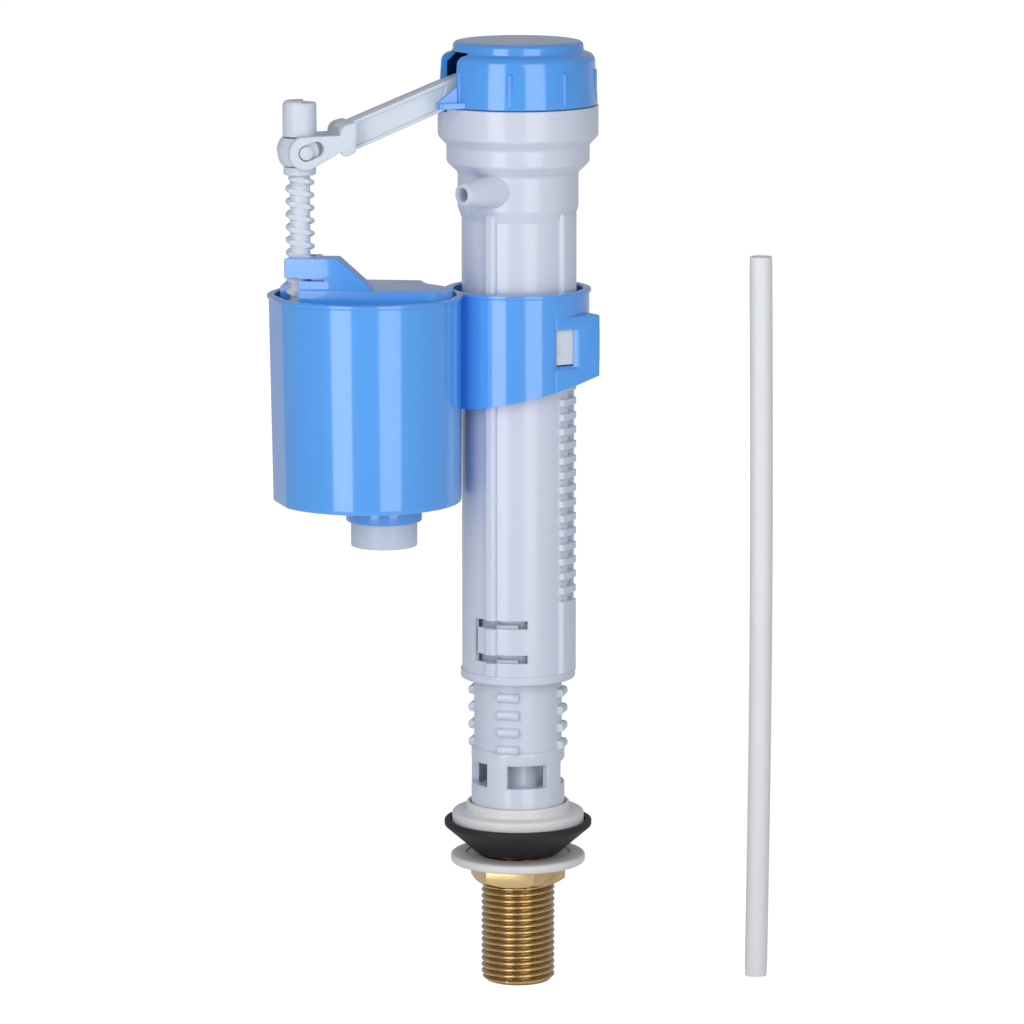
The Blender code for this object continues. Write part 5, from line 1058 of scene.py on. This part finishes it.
def deckBox(along, front, heights, edge=0.2, corner=0.3):
    outline = rounded([(*onDeck(along[0], front[0]), corner), (*onDeck(along[0], front[1]), corner),
                       (*onDeck(along[1], front[1]), corner), (*onDeck(along[1], front[0]), corner)], corner)
    return softPrism(outline, heights[0], heights[1], edge)


def makeFloat():
    f = floatLook
    x = spindle["x"]
    inset = f["gap"]
    piece = raw("floatBody", loftMesh([(cupOutline(inset + 1.3), f["low"]), (cupOutline(inset + 0.8), f["low"] + 0.6),
                                       (cupOutline(inset), f["top"] - 0.6),
                                       (cupOutline(inset + 0.15), f["top"] - 0.2),
                                       (cupOutline(inset + 0.6), f["top"])]))
    deck = raw("deck", deckBox((-f["backEnd"], 60), (f["front"] - f["deep"], f["front"]),
                               (f["top"] - 1, f["deckTop"]),
                               0.35, 0.6))
    carve(deck, softPrism(cupOutline(inset + f["inset"]), f["top"] - 3, f["deckTop"] + 0.02, 0.35), "INTERSECT")
    carve(deck, between((0, 0, f["top"] - 2), (0, 0, f["deckTop"] + 2), f["riserClear"], steps=128))
    tower = raw("tower", towerMesh())
    carve(tower, softPrism(cupOutline(1.9), f["deckTop"] - 2, f["towerTop"] + 1, 0.05), "INTERSECT")
    carve(tower, deckBox((f["wingFrom"], 40), (-20, f["wingBack"]), (f["deckTop"], f["towerTop"] + 2), 0.1, 0.3))
    bridge = f["towerTop"] - f["bridge"]
    left = -f["towerLeft"] - 1
    carve(tower, deckBox((left, f["recess"]), (f["towerHalf"] - f["recessDeep"], f["towerHalf"] + 1),
                         (f["deckTop"] + 0.2, bridge - f["slit"]), 0.1, 0.2))
    carve(tower, deckBox((left, f["recess"] - 1.5), (f["towerHalf"] - 2.5, f["towerHalf"] + 2),
                         (bridge - f["slit"] - 0.2, bridge - 0.2), 0.1, 0.2))
    union(piece, deck)
    union(piece, tower)
    channel = f["channel"]
    clear = [onDeck(-20, -channel), onDeck(0.3, -channel), onDeck(0.3, 20), onDeck(-20, 20)]
    carve(piece, softPrism(clear, f["low"] - 1, bridge, 0.05))
    carve(piece, deckBox((-20, 0), (-channel, channel), (bridge - 1, f["towerTop"] + 1), 0.05, 0.15))
    carve(piece, between((x, 0, f["low"] - 1), (x, 0, f["towerTop"] + 1), channel, steps=48))
    radius = cup["radius"] - inset - f["wall"] - 0.8
    half = math.degrees(math.acos((cup["x"] - f["stop"]) / radius))
    hollow = arc((cup["x"], 0), radius, 180 + half, 540 - half, 64)
    carve(piece, softPrism(hollow, f["low"] - 1, f["top"] - f["wall"], 0.4))
    return dress(piece, "blue", "float", "float", 28)


def towerMesh():
    f = floatLook
    low = f["deckTop"] - 1
    outline = rounded([(-f["towerLeft"], low), (f["towerRightFoot"], low),
                       (f["towerRightFoot"], f["deckTop"] + 0.6, 0.4),
                       (f["towerRightTop"], f["towerTop"], 0.6), (-f["towerLeft"], f["towerTop"], 0.8)], 0.45)
    bm = sideways(softPrism(outline, -f["towerHalf"], f["towerHalf"], 0.35))
    turn = Matrix.Rotation(math.radians(f["turn"]), 4, "Z")
    bm.transform(Matrix.Translation((spindle["x"], 0, 0)) @ turn)
    return bm


makeFloat()
print("float made")


# refill tube

tube = {"x": 64.6, "y": -21.0, "low": -36.0, "length": 206.5, "radius": 3.2, "bore": 2.3, "bow": 0.8,
        "steps": 40, "stops": 60}


def makeRefillTube():
    t = tube
    bm = bmesh.new()
    rings = []
    for radius in (t["radius"], t["bore"]):
        column = []
        for index in range(t["stops"] + 1):
            share = index / t["stops"]
            bow = t["bow"] * math.sin(math.pi * share)
            z = t["low"] + t["length"] * share
            flare = 0.12 * max(0.0, 1 - min(share, 1 - share) * 200) if radius == t["radius"] else 0.0
            column.append([bm.verts.new((t["x"] + bow + (radius - flare) * math.cos(2 * math.pi * s / t["steps"]),
                                         t["y"] + (radius - flare) * math.sin(2 * math.pi * s / t["steps"]), z))
                           for s in range(t["steps"])])
        rings.append(column)
    outside, inside = rings
    for s in range(t["steps"]):
        after = (s + 1) % t["steps"]
        for low, high in zip(outside, outside[1:]):
            bm.faces.new((low[s], low[after], high[after], high[s]))
        for low, high in zip(inside, inside[1:]):
            bm.faces.new((low[after], low[s], high[s], high[after]))
        bm.faces.new((outside[0][after], outside[0][s], inside[0][s], inside[0][after]))
        bm.faces.new((outside[-1][s], outside[-1][after], inside[-1][after], inside[-1][s]))
    return addPiece("refillTube", bm, "tubing", "base", "refill_tube", 50)


makeRefillTube()
print("tube made")


# nodes that stay as they are get their finish

stayingNodes = {"inlet_filter": "natural", "shank_o_ring": "rubber", "diaphragm": "rubber",
                "diaphragm_core": "natural", "pilot_plate": "natural", "lever_pin": "steel",
                "pilot_seal": "rubber"}
for node, finish in stayingNodes.items():
    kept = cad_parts[node]
    kept.data.materials.clear()
    kept.data.materials.append(finishes[finish])


# stage, light and camera

studio = {"floor": -36.9, "size": 12000.0, "azimuth": -18.0, "elevation": 9.7, "distance": 1660.0, "lens": 207.1,
          "aim": 98.0, "shift": -1.7, "world": (0.78, 0.80, 0.88), "worldStrength": 0.43,
          "lampDistance": 480.0,
          "lamps": ({"turn": -29.5, "rise": 12.0, "wide": 205.0, "tall": 640.0, "light": 2.5},
                    {"turn": 27.0, "rise": 12.0, "wide": 235.0, "tall": 640.0, "light": 1.9})}


def direction(azimuth, elevation):
    a, e = math.radians(azimuth), math.radians(elevation)
    return Vector((math.sin(a) * math.cos(e), -math.cos(a) * math.cos(e), math.sin(e)))


def makeStage():
    s = studio
    bm = bmesh.new()
    half = s["size"] / 2
    bm.faces.new([bm.verts.new((x * half, y * half, s["floor"] - 0.05))
                  for x, y in ((-1, -1), (1, -1), (1, 1), (-1, 1))])
    mesh = bpy.data.meshes.new("studioFloor")
    bm.to_mesh(mesh)
    bm.free()
    mesh.transform(Matrix.Scale(mm, 4))
    floor = bpy.data.objects.new("studioFloor", mesh)
    bpy.context.scene.collection.objects.link(floor)
    finish = Finish("studioFloor")
    finish.shader({"Base Color": (0.86, 0.86, 0.87, 1.0), "Roughness": 0.9, "Specular IOR Level": 0.1})
    rays = finish.tree.nodes.new("ShaderNodeLightPath")
    white = finish.tree.nodes.new("ShaderNodeEmission")
    mix = finish.tree.nodes.new("ShaderNodeMixShader")
    seen = Wire(finish, rays.outputs["Is Camera Ray"]) + Wire(finish, rays.outputs["Is Glossy Ray"]) * 0.3
    finish.feed(mix, {0: seen * 0.66, 1: Wire(finish, finish.tree.nodes["Principled BSDF"].outputs[0]),
                      2: Wire(finish, white.outputs[0])})
    white.inputs["Color"].default_value = (1, 1, 1, 1)
    white.inputs["Strength"].default_value = 1.42
    finish.feed(finish.tree.nodes["Material Output"], {"Surface": Wire(finish, mix.outputs[0])})
    floor.data.materials.append(finish.material)


def makeWorld():
    s = studio
    world = bpy.data.worlds.new("studioWorld")
    world.use_nodes = True
    bpy.context.scene.world = world
    finish = Finish("world", world.node_tree)
    rays = finish.tree.nodes.new("ShaderNodeLightPath")
    seen = Wire(finish, rays.outputs["Is Camera Ray"]) + Wire(finish, rays.outputs["Is Transmission Ray"])
    colour = finish.blendColours(seen, (*[v * s["worldStrength"] for v in s["world"]], 1.0), (1.0, 1.0, 1.0, 1.0))
    finish.feed(finish.tree.nodes["Background"], {"Color": colour, "Strength": 1.0})


def makeLamps():
    s = studio
    aim = Vector((-20.0, 0.0, s["aim"])) * mm
    for index, lamp in enumerate(s["lamps"]):
        light = bpy.data.lights.new(f"softbox{index}", "AREA")
        light.shape = "RECTANGLE"
        light.size = lamp["wide"] * mm
        light.size_y = lamp["tall"] * mm
        light.energy = lamp["light"] * math.pi * lamp["wide"] * lamp["tall"] * mm * mm
        made = bpy.data.objects.new(f"softbox{index}", light)
        bpy.context.scene.collection.objects.link(made)
        back = direction(s["azimuth"] + lamp["turn"], lamp["rise"])
        made.location = aim + back * s["lampDistance"] * mm
        made.rotation_mode = "QUATERNION"
        made.rotation_quaternion = (-back).to_track_quat("-Z", "Y")


def makeCamera():
    s = studio
    camera = bpy.data.objects.new("camera", bpy.data.cameras.new("camera"))
    bpy.context.scene.collection.objects.link(camera)
    camera.data.sensor_width = 36.0
    camera.data.lens = s["lens"]
    camera.data.clip_end = 50.0
    turn = math.radians(s["azimuth"])
    right = Vector((math.cos(turn), math.sin(turn), 0))
    back = direction(s["azimuth"], s["elevation"])
    camera.location = (Vector((0, 0, s["aim"])) + right * s["shift"] + back * s["distance"]) * mm
    camera.rotation_mode = "QUATERNION"
    camera.rotation_quaternion = (-back).to_track_quat("-Z", "Y")
    bpy.context.scene.camera = camera


makeStage()
makeWorld()
makeLamps()
makeCamera()
bpy.context.scene.view_settings.view_transform = "Standard"
print("stage made")
